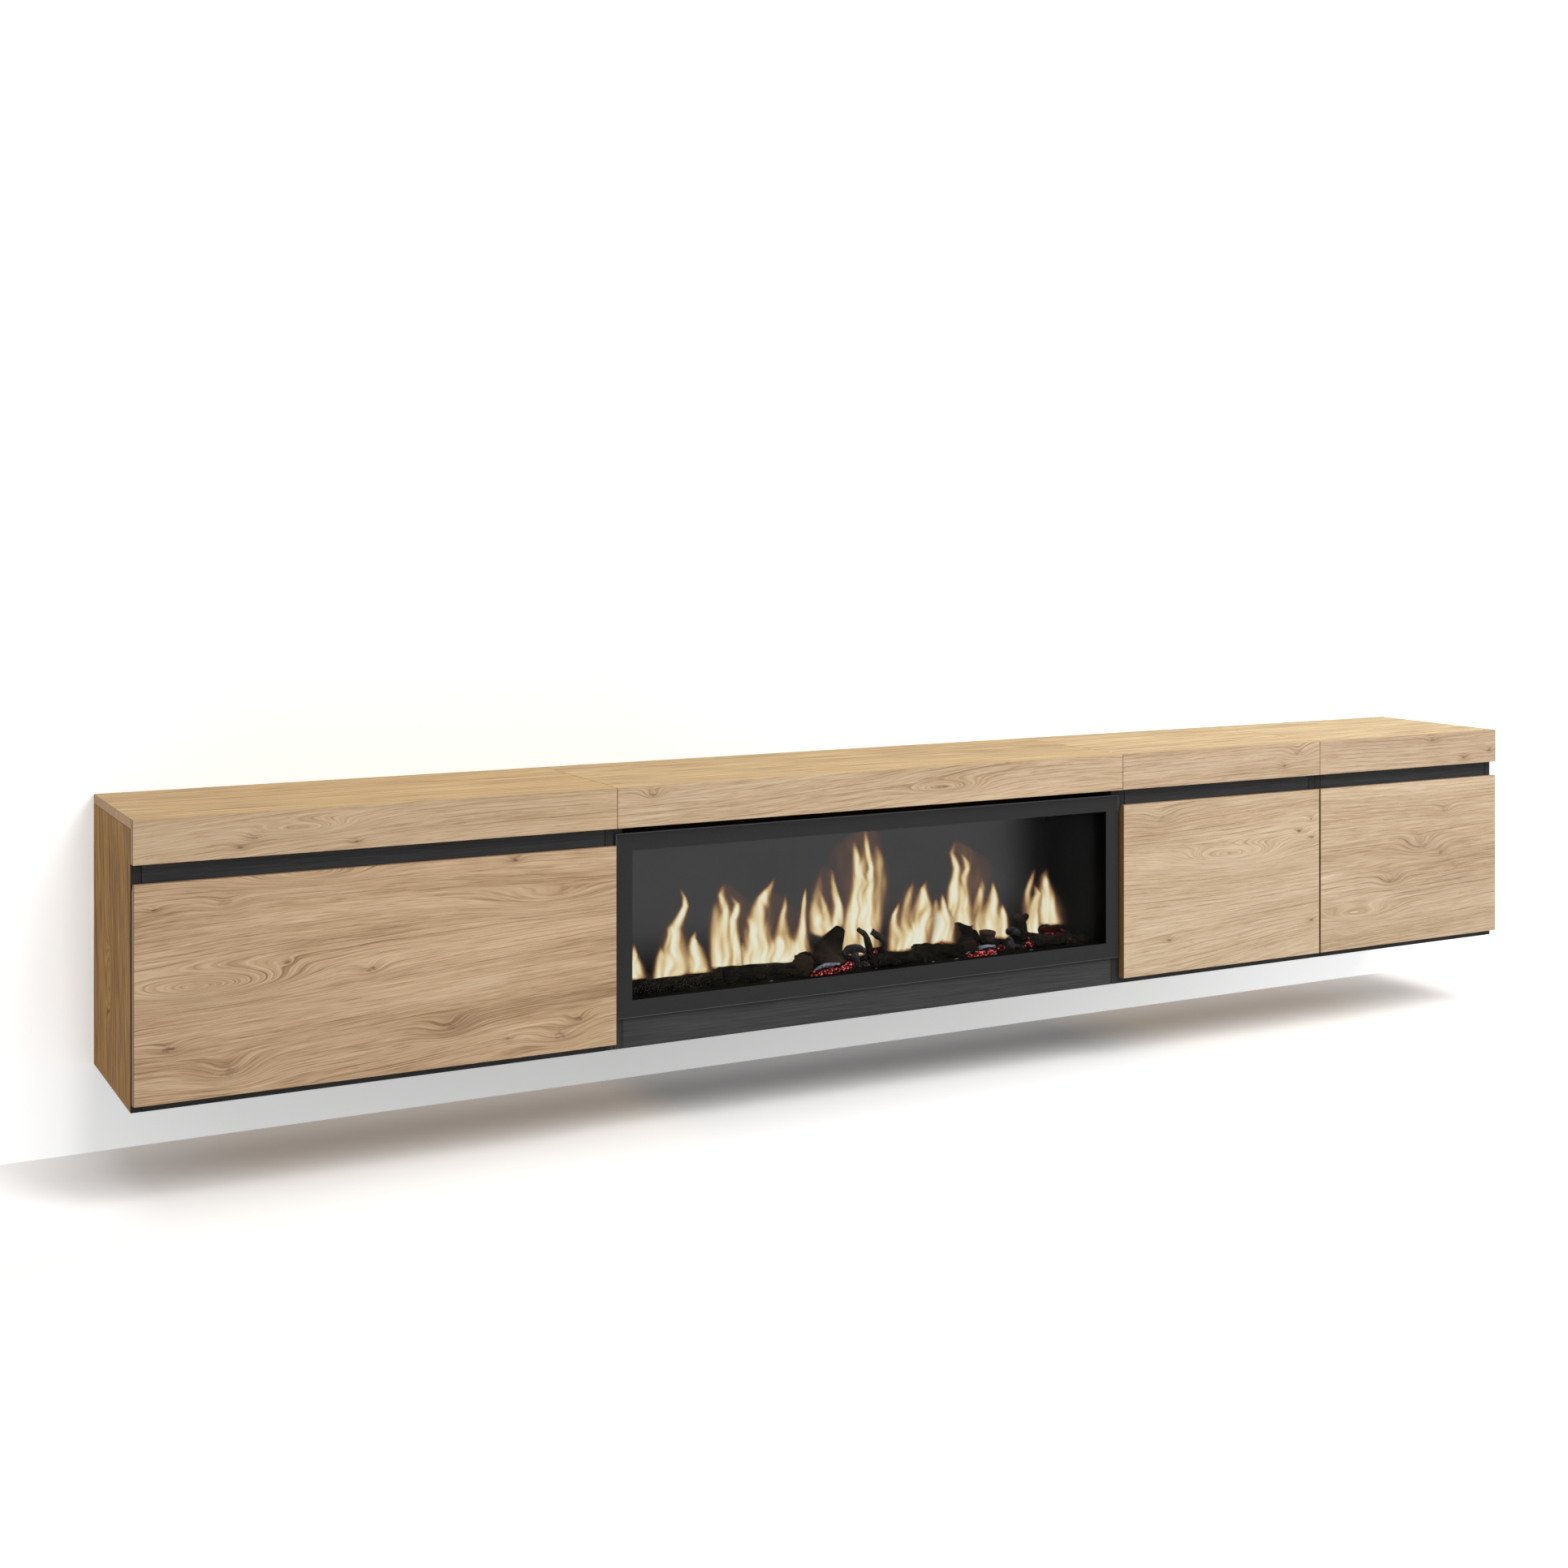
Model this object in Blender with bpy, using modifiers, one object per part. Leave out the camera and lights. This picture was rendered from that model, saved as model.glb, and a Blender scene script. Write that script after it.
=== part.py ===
"""A wall-hung media unit of four cabinets: three with a drop-down flap, one with an electric fire.

Metres, +X along the front, +Y to the wall, +Z up. The origin is on the wall, at the hanging rail's middle.
"""

import math

import bmesh
import bpy
from mathutils import Matrix, Vector

# The cabinets
wide_width = 0.805
fireplace_width = 1.077
narrow_width = 0.509
cabinet_height = 0.4525
carcass_depth = 0.325
board = 0.016
back_board = 0.005
back_recess = 0.016
cable_gap = 0.040
fit_gap = 0.0003
edge_round = 0.0006
cut_overrun = 0.003

# What closes the front
fascia_height = 0.070
finger_gap = 0.0293
floor_reveal = 0.0125
flap_gap = 0.001
flap_reveal = 0.0015
grip_bevel_depth = 0.010
grip_bevel_height = 0.014
rail_overlap = 0.004

# The flap hinge: its axis lies just inside the flap's lower back edge
axis_inside_flap = 0.0015
axis_over_flap_edge = 0.0015
hinge_inset = 0.100
hinge_width = 0.050
hinge_tab_width = 0.016
hinge_side_play = 0.0005
hinge_pin_radius = 0.001
knuckle_radius = 0.002
leaf_thickness = 0.0015
leaf_length = 0.035
leaf_set_back = 0.001
knuckle_room = 0.0015
pocket_rise = 0.008

# The flap stay: an arm on the side panel and a link to a bracket on the flap, always a parallelogram
stay_pivot_back = 0.080
stay_pivot_rise = 0.110
stay_eye_back = 0.012
stay_eye_rise = 0.120
stay_plate = 0.003
stay_play = 0.0005
arm_half_width = 0.007
link_half_width = 0.006
arm_pivot_radius = 0.004
arm_pivot_depth = 0.008
stay_pin_radius = 0.0025
pin_play = 0.0001
open_pivot_play = 0.0003
bracket_plate = 0.002
bracket_width = 0.030
bracket_height = 0.044
bracket_lip = 0.0015

# The hanging rail and the hooks that the side panels have for it
rail_sheet = 0.003
rail_height = 0.036
rail_stand_off = 0.012
rail_lip_height = 0.018
rail_drop = 0.070
hook_play = 0.0005
hook_lift = 0.020
blind_skin = 0.006
rail_screw_radius = 0.003
rail_screw_shares = (-0.46, -0.28, -0.10, 0.10, 0.28, 0.46)

# The electric fire
bezel_reveal = 0.002
air_slot = 0.0109
panel_under_bezel = 0.0522
bezel_border = 0.0305
bezel_thickness = 0.0053
collar_thickness = 0.0015
glass_thickness = 0.004
glass_overlap = 0.012
mouth_margin = 0.004
lower_panel_overlap = 0.008
casing_play = 0.002
casing_over_opening = 0.0227
casing_wall_room = 0.0287
casing_sheet = 0.0015
screen_thickness = 0.003
screen_from_back = 0.077
bed_play = 0.004
bed_sheet = 0.004
bed_under_opening = 0.004
bed_front_room = 0.007
log_sides = 10

# Behind the flame screen
spindle_from_back = 0.040
spindle_rise = 0.060
spindle_radius = 0.004
spindle_end_radius = 0.003
spindle_end_proud = 0.0005
spindle_end_play = 0.001
vane_reach = 0.018
vane_sheet = 0.0012
vane_length = 0.080
vane_count = 9
vane_span_share = 0.86
vane_turn_degrees = 70
motor_radius = 0.025
motor_thickness = 0.018
motor_shaft_radius = 0.0022
motor_shaft_length = 0.012
led_bar_width = 0.030
led_bar_height = 0.008
led_bar_end_room = 0.040

small_round_sides = 16
large_round_sides = 24
weld_share = 0.01
quarter_turn = math.pi / 2
smooth_angle = math.radians(35)
bevel_angle = math.radians(30)

# The logs, from left to right: where the middle of each lies along and across the bed, then how high it
# lies over the bed, its length as a share of the bed's and its thick radius, and its turn about the
# vertical and tilt off the level in degrees
log_thin, log_medium, log_thick = 0.011, 0.016, 0.021
log_short_share, log_middling_share, log_long_share = 0.073, 0.126, 0.175
log_low, log_mid, log_high = 0.009, 0.016, 0.029
log_taper_share = 0.82
log_place_shares = (
    (0.096, 0.15),
    (0.272, 0.19),
    (0.366, 0.29),
    (0.441, 0.42),
    (0.542, 0.53),
    (0.584, 0.16),
    (0.698, 0.27),
    (0.757, 0.53),
    (0.779, 0.32),
    (0.851, 0.32),
    (0.925, 0.22),
    (0.950, 0.58),
)
log_forms = (
    (log_low, log_long_share, log_medium),
    (log_low, log_long_share, log_medium),
    (log_mid, log_short_share, log_thick),
    (log_high, log_middling_share, log_thick),
    (log_high, log_middling_share, log_thin),
    (log_low, log_middling_share, log_medium),
    (log_low, log_middling_share, log_medium),
    (log_mid, log_short_share, log_thick),
    (log_mid, log_short_share, log_thick),
    (log_high, log_middling_share, log_thin),
    (log_low, log_middling_share, log_medium),
    (log_mid, log_short_share, log_thin),
)
log_turns_and_tilts_degrees = (
    (2, 0),
    (5, 2),
    (62, 4),
    (-24, -26),
    (34, 24),
    (4, 1),
    (-6, 3),
    (22, 14),
    (70, -8),
    (-52, 40),
    (4, -2),
    (-20, 16),
)

# Levels and planes that the sizes above set
top = rail_drop
underside = top - cabinet_height
top_underside = top - board
floor_top = underside + board
carcass_front = -carcass_depth
flap_back = carcass_front - flap_gap
flap_front = flap_back - board
flap_top = top - fascia_height - finger_gap
flap_bottom = underside + floor_reveal
hinge_y = flap_back - axis_inside_flap
hinge_z = flap_bottom + axis_over_flap_edge
rail_back = carcass_front + board

widths = (wide_width, fireplace_width, narrow_width, narrow_width)
names = ("wide_cabinet", "fireplace_cabinet", "middle_cabinet", "end_cabinet")
overall_length = sum(widths) + fit_gap * (len(widths) - 1)

for old in list(bpy.data.objects):
    bpy.data.objects.remove(old)

part = bpy.data.collections.new("media_cabinet_with_fire")
cutters = bpy.data.collections.new("cutters")
cutters.hide_render = True
for group in (part, cutters):
    bpy.context.scene.collection.children.link(group)


def material(name, colour, roughness, metallic=0.0, alpha=1.0):
    made = bpy.data.materials.new(name)
    made.use_nodes = True
    shader = made.node_tree.nodes["Principled BSDF"]
    shader.inputs["Base Color"].default_value = (*colour, 1.0)
    shader.inputs["Roughness"].default_value = roughness
    shader.inputs["Metallic"].default_value = metallic
    shader.inputs["Alpha"].default_value = alpha
    return made


light_oak = material("light_oak", (0.60, 0.44, 0.28), 0.55)
anthracite = material("anthracite_board", (0.036, 0.036, 0.038), 0.55)
back_finish = material("plain_back_board", (0.10, 0.10, 0.10), 0.7)
black_sheet = material("black_sheet", (0.02, 0.02, 0.02), 0.5, 0.4)
bezel_paint = material("bezel_paint", (0.040, 0.040, 0.042), 0.45, 0.2)
glass = material("clear_glass", (0.9, 0.95, 0.95), 0.03, 0.0, 0.2)
steel = material("zinc_steel", (0.55, 0.55, 0.56), 0.35, 1.0)
smoked_acrylic = material("smoked_acrylic", (0.035, 0.035, 0.037), 0.3)
charred_wood = material("charred_wood", (0.025, 0.018, 0.014), 0.85)
bright_foil = material("bright_foil", (0.8, 0.8, 0.8), 0.15, 1.0)
motor_case = material("motor_case", (0.30, 0.30, 0.31), 0.4, 1.0)
led_board = material("led_board", (0.8, 0.75, 0.6), 0.4)

# Local x and y of an outline are world Y and Z, and it is carried along world X
outline_plane = Matrix(((0, 0, 1, 0), (1, 0, 0, 0), (0, 1, 0, 0), (0, 0, 0, 1)))


def finished(name, mesh, finish):
    """The object for a mesh: a piece of the cabinet, or a cutter where it has no finish."""
    piece = bpy.data.objects.new(name, mesh)
    if finish is None:
        cutters.objects.link(piece)
        piece.hide_render = True
        piece.display_type = "WIRE"
        return piece
    part.objects.link(piece)
    mesh.materials.append(finish)
    mesh.shade_smooth()
    mesh.set_sharp_from_angle(angle=smooth_angle)
    return piece


def block(name, low, high, finish=None):
    low, high = Vector(low), Vector(high)
    shape = bmesh.new()
    bmesh.ops.create_cube(shape, size=1)
    bmesh.ops.scale(shape, vec=high - low, verts=shape.verts)
    mesh = bpy.data.meshes.new(name)
    shape.to_mesh(mesh)
    shape.free()
    piece = finished(name, mesh, finish)
    piece.location = (low + high) / 2
    return piece


def rod(name, start, end, radius, finish=None, end_radius=None, sides=small_round_sides):
    """A round bar between two points."""
    start, end = Vector(start), Vector(end)
    shape = bmesh.new()
    bmesh.ops.create_cone(
        shape,
        cap_ends=True,
        segments=sides,
        radius1=radius,
        radius2=radius if end_radius is None else end_radius,
        depth=(end - start).length,
    )
    mesh = bpy.data.meshes.new(name)
    shape.to_mesh(mesh)
    shape.free()
    piece = finished(name, mesh, finish)
    piece.location = (start + end) / 2
    piece.rotation_mode = "QUATERNION"
    piece.rotation_quaternion = (end - start).to_track_quat("Z", "Y")
    return piece


def prism(name, loops, low_x, high_x, finish=None):
    """An outline of (y, z) points, with its holes, carried along X."""
    curve = bpy.data.curves.new(name, "CURVE")
    curve.dimensions = "2D"
    curve.fill_mode = "BOTH"
    curve.extrude = (high_x - low_x) / 2
    for loop in loops:
        spline = curve.splines.new("POLY")
        spline.points.add(len(loop) - 1)
        for point, (y, z) in zip(spline.points, loop):
            point.co = (y, z, 0, 1)
        spline.use_cyclic_u = True
    guide = bpy.data.objects.new(name + "_outline", curve)
    part.objects.link(guide)
    guide.matrix_world = Matrix.Translation(((low_x + high_x) / 2, 0, 0)) @ outline_plane
    bpy.context.view_layer.update()
    graph = bpy.context.evaluated_depsgraph_get()
    mesh = bpy.data.meshes.new_from_object(guide.evaluated_get(graph))
    mesh.name = name
    mesh.materials.clear()
    shape = bmesh.new()
    shape.from_mesh(mesh)
    bmesh.ops.remove_doubles(shape, verts=shape.verts, dist=fit_gap * weld_share)
    bmesh.ops.recalc_face_normals(shape, faces=shape.faces)
    shape.to_mesh(mesh)
    shape.free()
    piece = finished(name, mesh, finish)
    piece.matrix_world = guide.matrix_world.copy()
    bpy.data.objects.remove(guide)
    return piece


def rounded(piece):
    """Breaks the edges of a board, as its edge band does."""
    bevel = piece.modifiers.new("edge_round", "BEVEL")
    bevel.width = edge_round
    bevel.segments = 1
    bevel.limit_method = "ANGLE"
    bevel.angle_limit = bevel_angle
    return piece


def change(piece, other, operation):
    step = piece.modifiers.new(other.name, "BOOLEAN")
    step.operation = operation
    step.object = other
    return piece


def cut(piece, *others):
    for other in others:
        change(piece, other, "DIFFERENCE")
    return piece


def join(piece, *others):
    for other in others:
        change(piece, other, "UNION")
    return piece


def arc(centre, radius, start, end, steps):
    """Points of an arc in the YZ plane, from one angle to another, both in radians."""
    angles = [start + (end - start) * i / steps for i in range(steps + 1)]
    return [(centre[0] + radius * math.cos(a), centre[1] + radius * math.sin(a)) for a in angles]


def round_hole(centre, radius, sides=small_round_sides):
    """A hole whose flats, and not its corners, keep this radius clear."""
    corner = radius / math.cos(math.pi / sides)
    return arc(centre, corner, 0, 2 * math.pi, sides)[:-1]


def bar_outline(start, end, half_width):
    """A flat bar with round ends between two (y, z) points."""
    heading = math.atan2(end[1] - start[1], end[0] - start[0])
    half_round = small_round_sides // 2
    far = arc(end, half_width, heading - quarter_turn, heading + quarter_turn, half_round)
    near = arc(start, half_width, heading + quarter_turn, heading + 3 * quarter_turn, half_round)
    return far + near


def joint_axis(name, place):
    """An empty on a joint's axis, for what turns about it."""
    axis = bpy.data.objects.new(name, None)
    axis.location = place
    part.objects.link(axis)
    return axis


def hang(axis, *pieces):
    for piece in pieces:
        piece.parent = axis
        piece.matrix_parent_inverse = Matrix.Translation(axis.location).inverted()


# The four carcasses

def hook_cutter(name, low_x, high_x):
    """The notch with which a side panel hooks over the rail's lip and rests on its ledge."""
    ledge = rail_height / 2
    low = -rail_height / 2 - hook_lift
    slot_front = -rail_stand_off - hook_play
    slot_back = -rail_stand_off + rail_sheet + hook_play
    slot_top = ledge - rail_sheet + rail_lip_height + hook_play
    rest = ledge + fit_gap
    outline = [
        (cut_overrun, low),
        (slot_front, low),
        (slot_front, slot_top),
        (slot_back, slot_top),
        (slot_back, rest),
        (cut_overrun, rest),
    ]
    return prism(name, [outline], low_x, high_x)


def side_panel(name, low_x, blind_side):
    """One side panel. blind_side is -1 or 1 where the notch must not show on that outer face, else 0."""
    panel = rounded(
        block(
            name,
            (low_x, carcass_front, underside),
            (low_x + board, 0, top_underside - fit_gap),
            anthracite,
        )
    )
    notch_low = low_x + blind_skin if blind_side < 0 else low_x - cut_overrun
    notch_high = low_x + board - blind_skin if blind_side > 0 else low_x + board + cut_overrun
    return cut(panel, hook_cutter(name + "_notch", notch_low, notch_high))


def carcass(name, low_x, width, blind_left, blind_right):
    """The boards that all four cabinets have. It gives the inner faces of the sides and the right side."""
    high_x = low_x + width
    inner_low, inner_high = low_x + board, high_x - board
    side_panel(name + "_left_side", low_x, -1 if blind_left else 0)
    right_side = side_panel(name + "_right_side", inner_high, 1 if blind_right else 0)
    rounded(
        block(
            name + "_top",
            (low_x, flap_back + fit_gap, top_underside),
            (high_x, 0, top),
            light_oak,
        )
    )
    rounded(
        block(
            name + "_fascia",
            (low_x, flap_front, top - fascia_height),
            (high_x, flap_back, top),
            light_oak,
        )
    )
    return inner_low + fit_gap, inner_high - fit_gap, right_side


def flap_hinge(name, middle_x, axis, flap):
    """A butt hinge: a leaf with a fixed pin on the cabinet's floor, and a leaf let into the flap."""
    low_x, high_x = middle_x - hinge_width / 2, middle_x + hinge_width / 2
    half_tab = hinge_tab_width / 2
    half_leaf = leaf_thickness / 2
    leaf_low = floor_top + fit_gap
    shoulder = math.asin(half_leaf / knuckle_radius)
    knuckle = arc(
        (hinge_y, hinge_z),
        knuckle_radius,
        quarter_turn + shoulder,
        5 * quarter_turn - shoulder,
        small_round_sides,
    )
    leaf_end = hinge_y + leaf_length
    fixed_outline = knuckle + [
        (hinge_y + half_leaf, leaf_low),
        (leaf_end, leaf_low),
        (leaf_end, leaf_low + leaf_thickness),
        (hinge_y - half_leaf, leaf_low + leaf_thickness),
    ]
    fixed = prism(name + "_fixed_leaf", [fixed_outline], low_x, high_x, steel)
    wide_part_front = carcass_front + leaf_set_back
    below_y = hinge_y - knuckle_radius - cut_overrun
    below_z = hinge_z - knuckle_radius - cut_overrun
    for side, inner, outer in (
        ("left", middle_x - half_tab, low_x - cut_overrun),
        ("right", middle_x + half_tab, high_x + cut_overrun),
    ):
        cut(
            fixed,
            block(
                f"{name}_{side}_clearance",
                (min(inner, outer), below_y, below_z),
                (max(inner, outer), wide_part_front, leaf_low + leaf_thickness + cut_overrun),
            ),
        )
    join(
        fixed,
        rod(name + "_pin", (low_x, hinge_y, hinge_z), (high_x, hinge_y, hinge_z), hinge_pin_radius),
    )
    moving_outline = knuckle + [
        (hinge_y + half_leaf, hinge_z + leaf_length),
        (hinge_y - half_leaf, hinge_z + leaf_length),
    ]
    pin_hole = round_hole((hinge_y, hinge_z), hinge_pin_radius + pin_play)
    moving = prism(name + "_flap_leaf", [moving_outline, pin_hole], low_x, high_x, steel)
    tab_room = half_tab + hinge_side_play
    cut(
        moving,
        block(
            name + "_tab_clearance",
            (middle_x - tab_room, below_y, below_z),
            (middle_x + tab_room, hinge_y + knuckle_radius + cut_overrun, hinge_z + pocket_rise),
        ),
    )
    hang(axis, moving)
    pocket_low, pocket_high = low_x - hinge_side_play, high_x + hinge_side_play
    knuckle_pocket = block(
        name + "_knuckle_pocket",
        (pocket_low, hinge_y - knuckle_radius - knuckle_room, flap_bottom - cut_overrun),
        (pocket_high, flap_back + cut_overrun, hinge_z + pocket_rise),
    )
    leaf_pocket = block(
        name + "_leaf_pocket",
        (pocket_low, hinge_y - half_leaf - fit_gap, hinge_z),
        (pocket_high, flap_back + cut_overrun, hinge_z + leaf_length + fit_gap),
    )
    cut(flap, knuckle_pocket, leaf_pocket)
    for pocket in (knuckle_pocket, leaf_pocket):
        hang(axis, pocket)


def flap_stay(name, wall_x, flap_axis, right_side):
    """The arm, the link and the flap bracket of a stay, on the inner face of the right side panel."""
    pivot = (hinge_y + stay_pivot_back, hinge_z + stay_pivot_rise)
    eye = (hinge_y + stay_eye_back, hinge_z + stay_eye_rise)
    elbow = (pivot[0] + stay_eye_back, pivot[1] + stay_eye_rise)
    arm_high = wall_x - stay_play
    arm_low = arm_high - stay_plate
    link_high = arm_low - stay_play
    link_low = link_high - stay_plate
    ear_high = link_low - stay_play
    ear_low = ear_high - stay_plate

    arm_outline = bar_outline(pivot, elbow, arm_half_width)
    elbow_hole = round_hole(elbow, stay_pin_radius + pin_play)
    arm = prism(name + "_stay_arm", [arm_outline, elbow_hole], arm_low, arm_high, steel)
    pivot_end = wall_x + arm_pivot_depth
    inside_arm = (arm_low + arm_high) / 2
    join(arm, rod(name + "_arm_pivot", (inside_arm, *pivot), (pivot_end, *pivot), arm_pivot_radius))
    bore = (arm_pivot_radius + pin_play) / math.cos(math.pi / small_round_sides)
    cut(
        right_side,
        rod(
            name + "_arm_pivot_hole",
            (wall_x - cut_overrun, *pivot),
            (pivot_end + fit_gap, *pivot),
            bore,
        ),
    )

    link_outline = bar_outline(eye, elbow, link_half_width)
    eye_hole = round_hole(eye, stay_pin_radius + open_pivot_play)
    link = prism(name + "_stay_link", [link_outline, eye_hole], link_low, link_high, steel)
    inside_link = (link_low + link_high) / 2
    elbow_pin_end = (arm_high - stay_play, *elbow)
    join(link, rod(name + "_elbow_pin", (inside_link, *elbow), elbow_pin_end, stay_pin_radius))

    plate_back = flap_back + fit_gap + bracket_plate
    inside_plate = plate_back - bracket_plate / 2
    ear_outline = [
        (inside_plate, eye[1] + link_half_width),
        (inside_plate, eye[1] - link_half_width),
    ] + arc(eye, link_half_width, -quarter_turn, quarter_turn, small_round_sides // 2)
    bracket = prism(name + "_stay_bracket", [ear_outline], ear_low, ear_high, steel)
    plate = block(
        name + "_bracket_plate",
        (ear_high + bracket_lip - bracket_width, flap_back + fit_gap, eye[1] - bracket_height / 2),
        (ear_high + bracket_lip, plate_back, eye[1] + bracket_height / 2),
    )
    inside_ear = (ear_low + ear_high) / 2
    eye_pin = rod(name + "_eye_pin", (inside_ear, *eye), (link_high - fit_gap, *eye), stay_pin_radius)
    join(bracket, plate, eye_pin)
    hang(flap_axis, bracket, plate, eye_pin)

    arm_axis = joint_axis(name + "_stay_arm_axis", (wall_x, *pivot))
    hang(arm_axis, arm)
    link_axis = joint_axis(name + "_stay_link_axis", (wall_x, *elbow))
    hang(arm_axis, link_axis)
    hang(link_axis, link)


def flap_cabinet(name, low_x, width, blind_left, blind_right):
    inner_low, inner_high, right_side = carcass(name, low_x, width, blind_left, blind_right)
    block(
        name + "_bottom",
        (inner_low, carcass_front, underside),
        (inner_high, -back_recess, floor_top),
        anthracite,
    )
    block(
        name + "_back",
        (inner_low, -back_recess - back_board, floor_top + cable_gap),
        (inner_high, -back_recess, top_underside - fit_gap),
        back_finish,
    )
    block(
        name + "_rail",
        (inner_low, carcass_front, flap_top - rail_overlap),
        (inner_high, rail_back, top_underside - fit_gap),
        anthracite,
    )
    middle_x = low_x + width / 2
    axis = joint_axis(name + "_flap_axis", (middle_x, hinge_y, hinge_z))
    profile = [
        (flap_back, flap_bottom),
        (flap_back, flap_top - grip_bevel_height),
        (flap_back - grip_bevel_depth, flap_top),
        (flap_front, flap_top),
        (flap_front, flap_bottom),
    ]
    flap_low, flap_high = low_x + flap_reveal, low_x + width - flap_reveal
    flap = rounded(prism(name + "_flap", [profile], flap_low, flap_high, light_oak))
    hang(axis, flap)
    flap_hinge(name + "_left_hinge", flap_low + hinge_inset, axis, flap)
    flap_hinge(name + "_right_hinge", flap_high - hinge_inset, axis, flap)
    flap_stay(name, low_x + width - board, axis, right_side)


def bezel(low_x, high_x, low_z, high_z):
    """A flat frame with a collar behind its inner edge, cut from one block."""
    back = carcass_front - fit_gap
    front = back - bezel_thickness
    collar_back = rail_back - glass_thickness - fit_gap
    frame = rounded(block("fireplace_bezel", (low_x, front, low_z), (high_x, back, high_z), bezel_paint))
    open_low = (low_x + bezel_border, low_z + bezel_border)
    open_high = (high_x - bezel_border, high_z - bezel_border)
    inside_frame = (front + back) / 2
    collar = block(
        "bezel_collar",
        (open_low[0] - collar_thickness, inside_frame, open_low[1] - collar_thickness),
        (open_high[0] + collar_thickness, collar_back, open_high[1] + collar_thickness),
    )
    opening = block(
        "bezel_opening",
        (open_low[0], front - cut_overrun, open_low[1]),
        (open_high[0], collar_back + cut_overrun, open_high[1]),
    )
    join(frame, collar)
    cut(frame, opening)
    return open_low, open_high


def log(name, place, length, radius, turn, tilt):
    """One charred log, thinner at one end, turned about the vertical and tilted off the level."""
    heading = Matrix.Rotation(math.radians(turn), 3, "Z") @ Matrix.Rotation(math.radians(tilt), 3, "Y")
    half = heading @ Vector((length / 2, 0, 0))
    place = Vector(place)
    return rod(name, place - half, place + half, radius, None, radius * log_taper_share, log_sides)


def fire(inner_low, inner_high, open_low, open_high):
    """The electric fire: casing, glass, bed of logs, flame screen, and what lights it from behind."""
    casing_front = rail_back + fit_gap
    casing_back = -casing_wall_room
    casing_low = Vector((inner_low + casing_play, casing_front, floor_top + fit_gap))
    casing_high = Vector((inner_high - casing_play, casing_back, open_high[1] + casing_over_opening))
    sheet = Vector((casing_sheet, casing_sheet, casing_sheet))
    casing = block("firebox_casing", casing_low, casing_high, black_sheet)
    hollow_low, hollow_high = casing_low + sheet, casing_high - sheet
    mouth_low = (open_low[0] - mouth_margin, casing_front - cut_overrun, open_low[1] - mouth_margin)
    mouth_high = (
        open_high[0] + mouth_margin,
        casing_front + casing_sheet + cut_overrun,
        open_high[1] + mouth_margin,
    )
    cut(
        casing,
        block("firebox_hollow", hollow_low, hollow_high),
        block("firebox_mouth", mouth_low, mouth_high),
    )

    glass_back = casing_front - fit_gap
    rounded(
        block(
            "fireplace_glass",
            (open_low[0] - glass_overlap, glass_back - glass_thickness, open_low[1] - glass_overlap),
            (open_high[0] + glass_overlap, glass_back, open_high[1] + glass_overlap),
            glass,
        )
    )

    screen_front = casing_back - screen_from_back - screen_thickness
    block(
        "flame_screen",
        (hollow_low[0] + fit_gap, screen_front, hollow_low[2] + fit_gap),
        (hollow_high[0] - fit_gap, screen_front + screen_thickness, hollow_high[2] - fit_gap),
        smoked_acrylic,
    )

    bed_low = Vector((hollow_low[0] + bed_play, casing_front + bed_front_room, hollow_low[2] + fit_gap))
    bed_high = Vector((hollow_high[0] - bed_play, screen_front - fit_gap, open_low[1] - bed_under_opening))
    bed = block("log_bed", bed_low, bed_high, charred_wood)
    under_low = (bed_low[0] + bed_sheet, bed_low[1] + bed_sheet, bed_low[2] - cut_overrun)
    under_high = (bed_high[0] - bed_sheet, bed_high[1] - bed_sheet, bed_high[2] - bed_sheet)
    cut(bed, block("bed_underside", under_low, under_high))
    size = bed_high - bed_low
    rows = zip(log_place_shares, log_forms, log_turns_and_tilts_degrees)
    for count, (place_shares, (rise, length_share, radius), (turn, tilt)) in enumerate(rows, 1):
        place = (
            bed_low[0] + place_shares[0] * size[0],
            bed_low[1] + place_shares[1] * size[1],
            bed_high[2] + rise,
        )
        join(bed, log(f"log_{count}", place, length_share * size[0], radius, turn, tilt))

    flame_works(casing, casing_low, casing_back, hollow_low, hollow_high)


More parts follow.
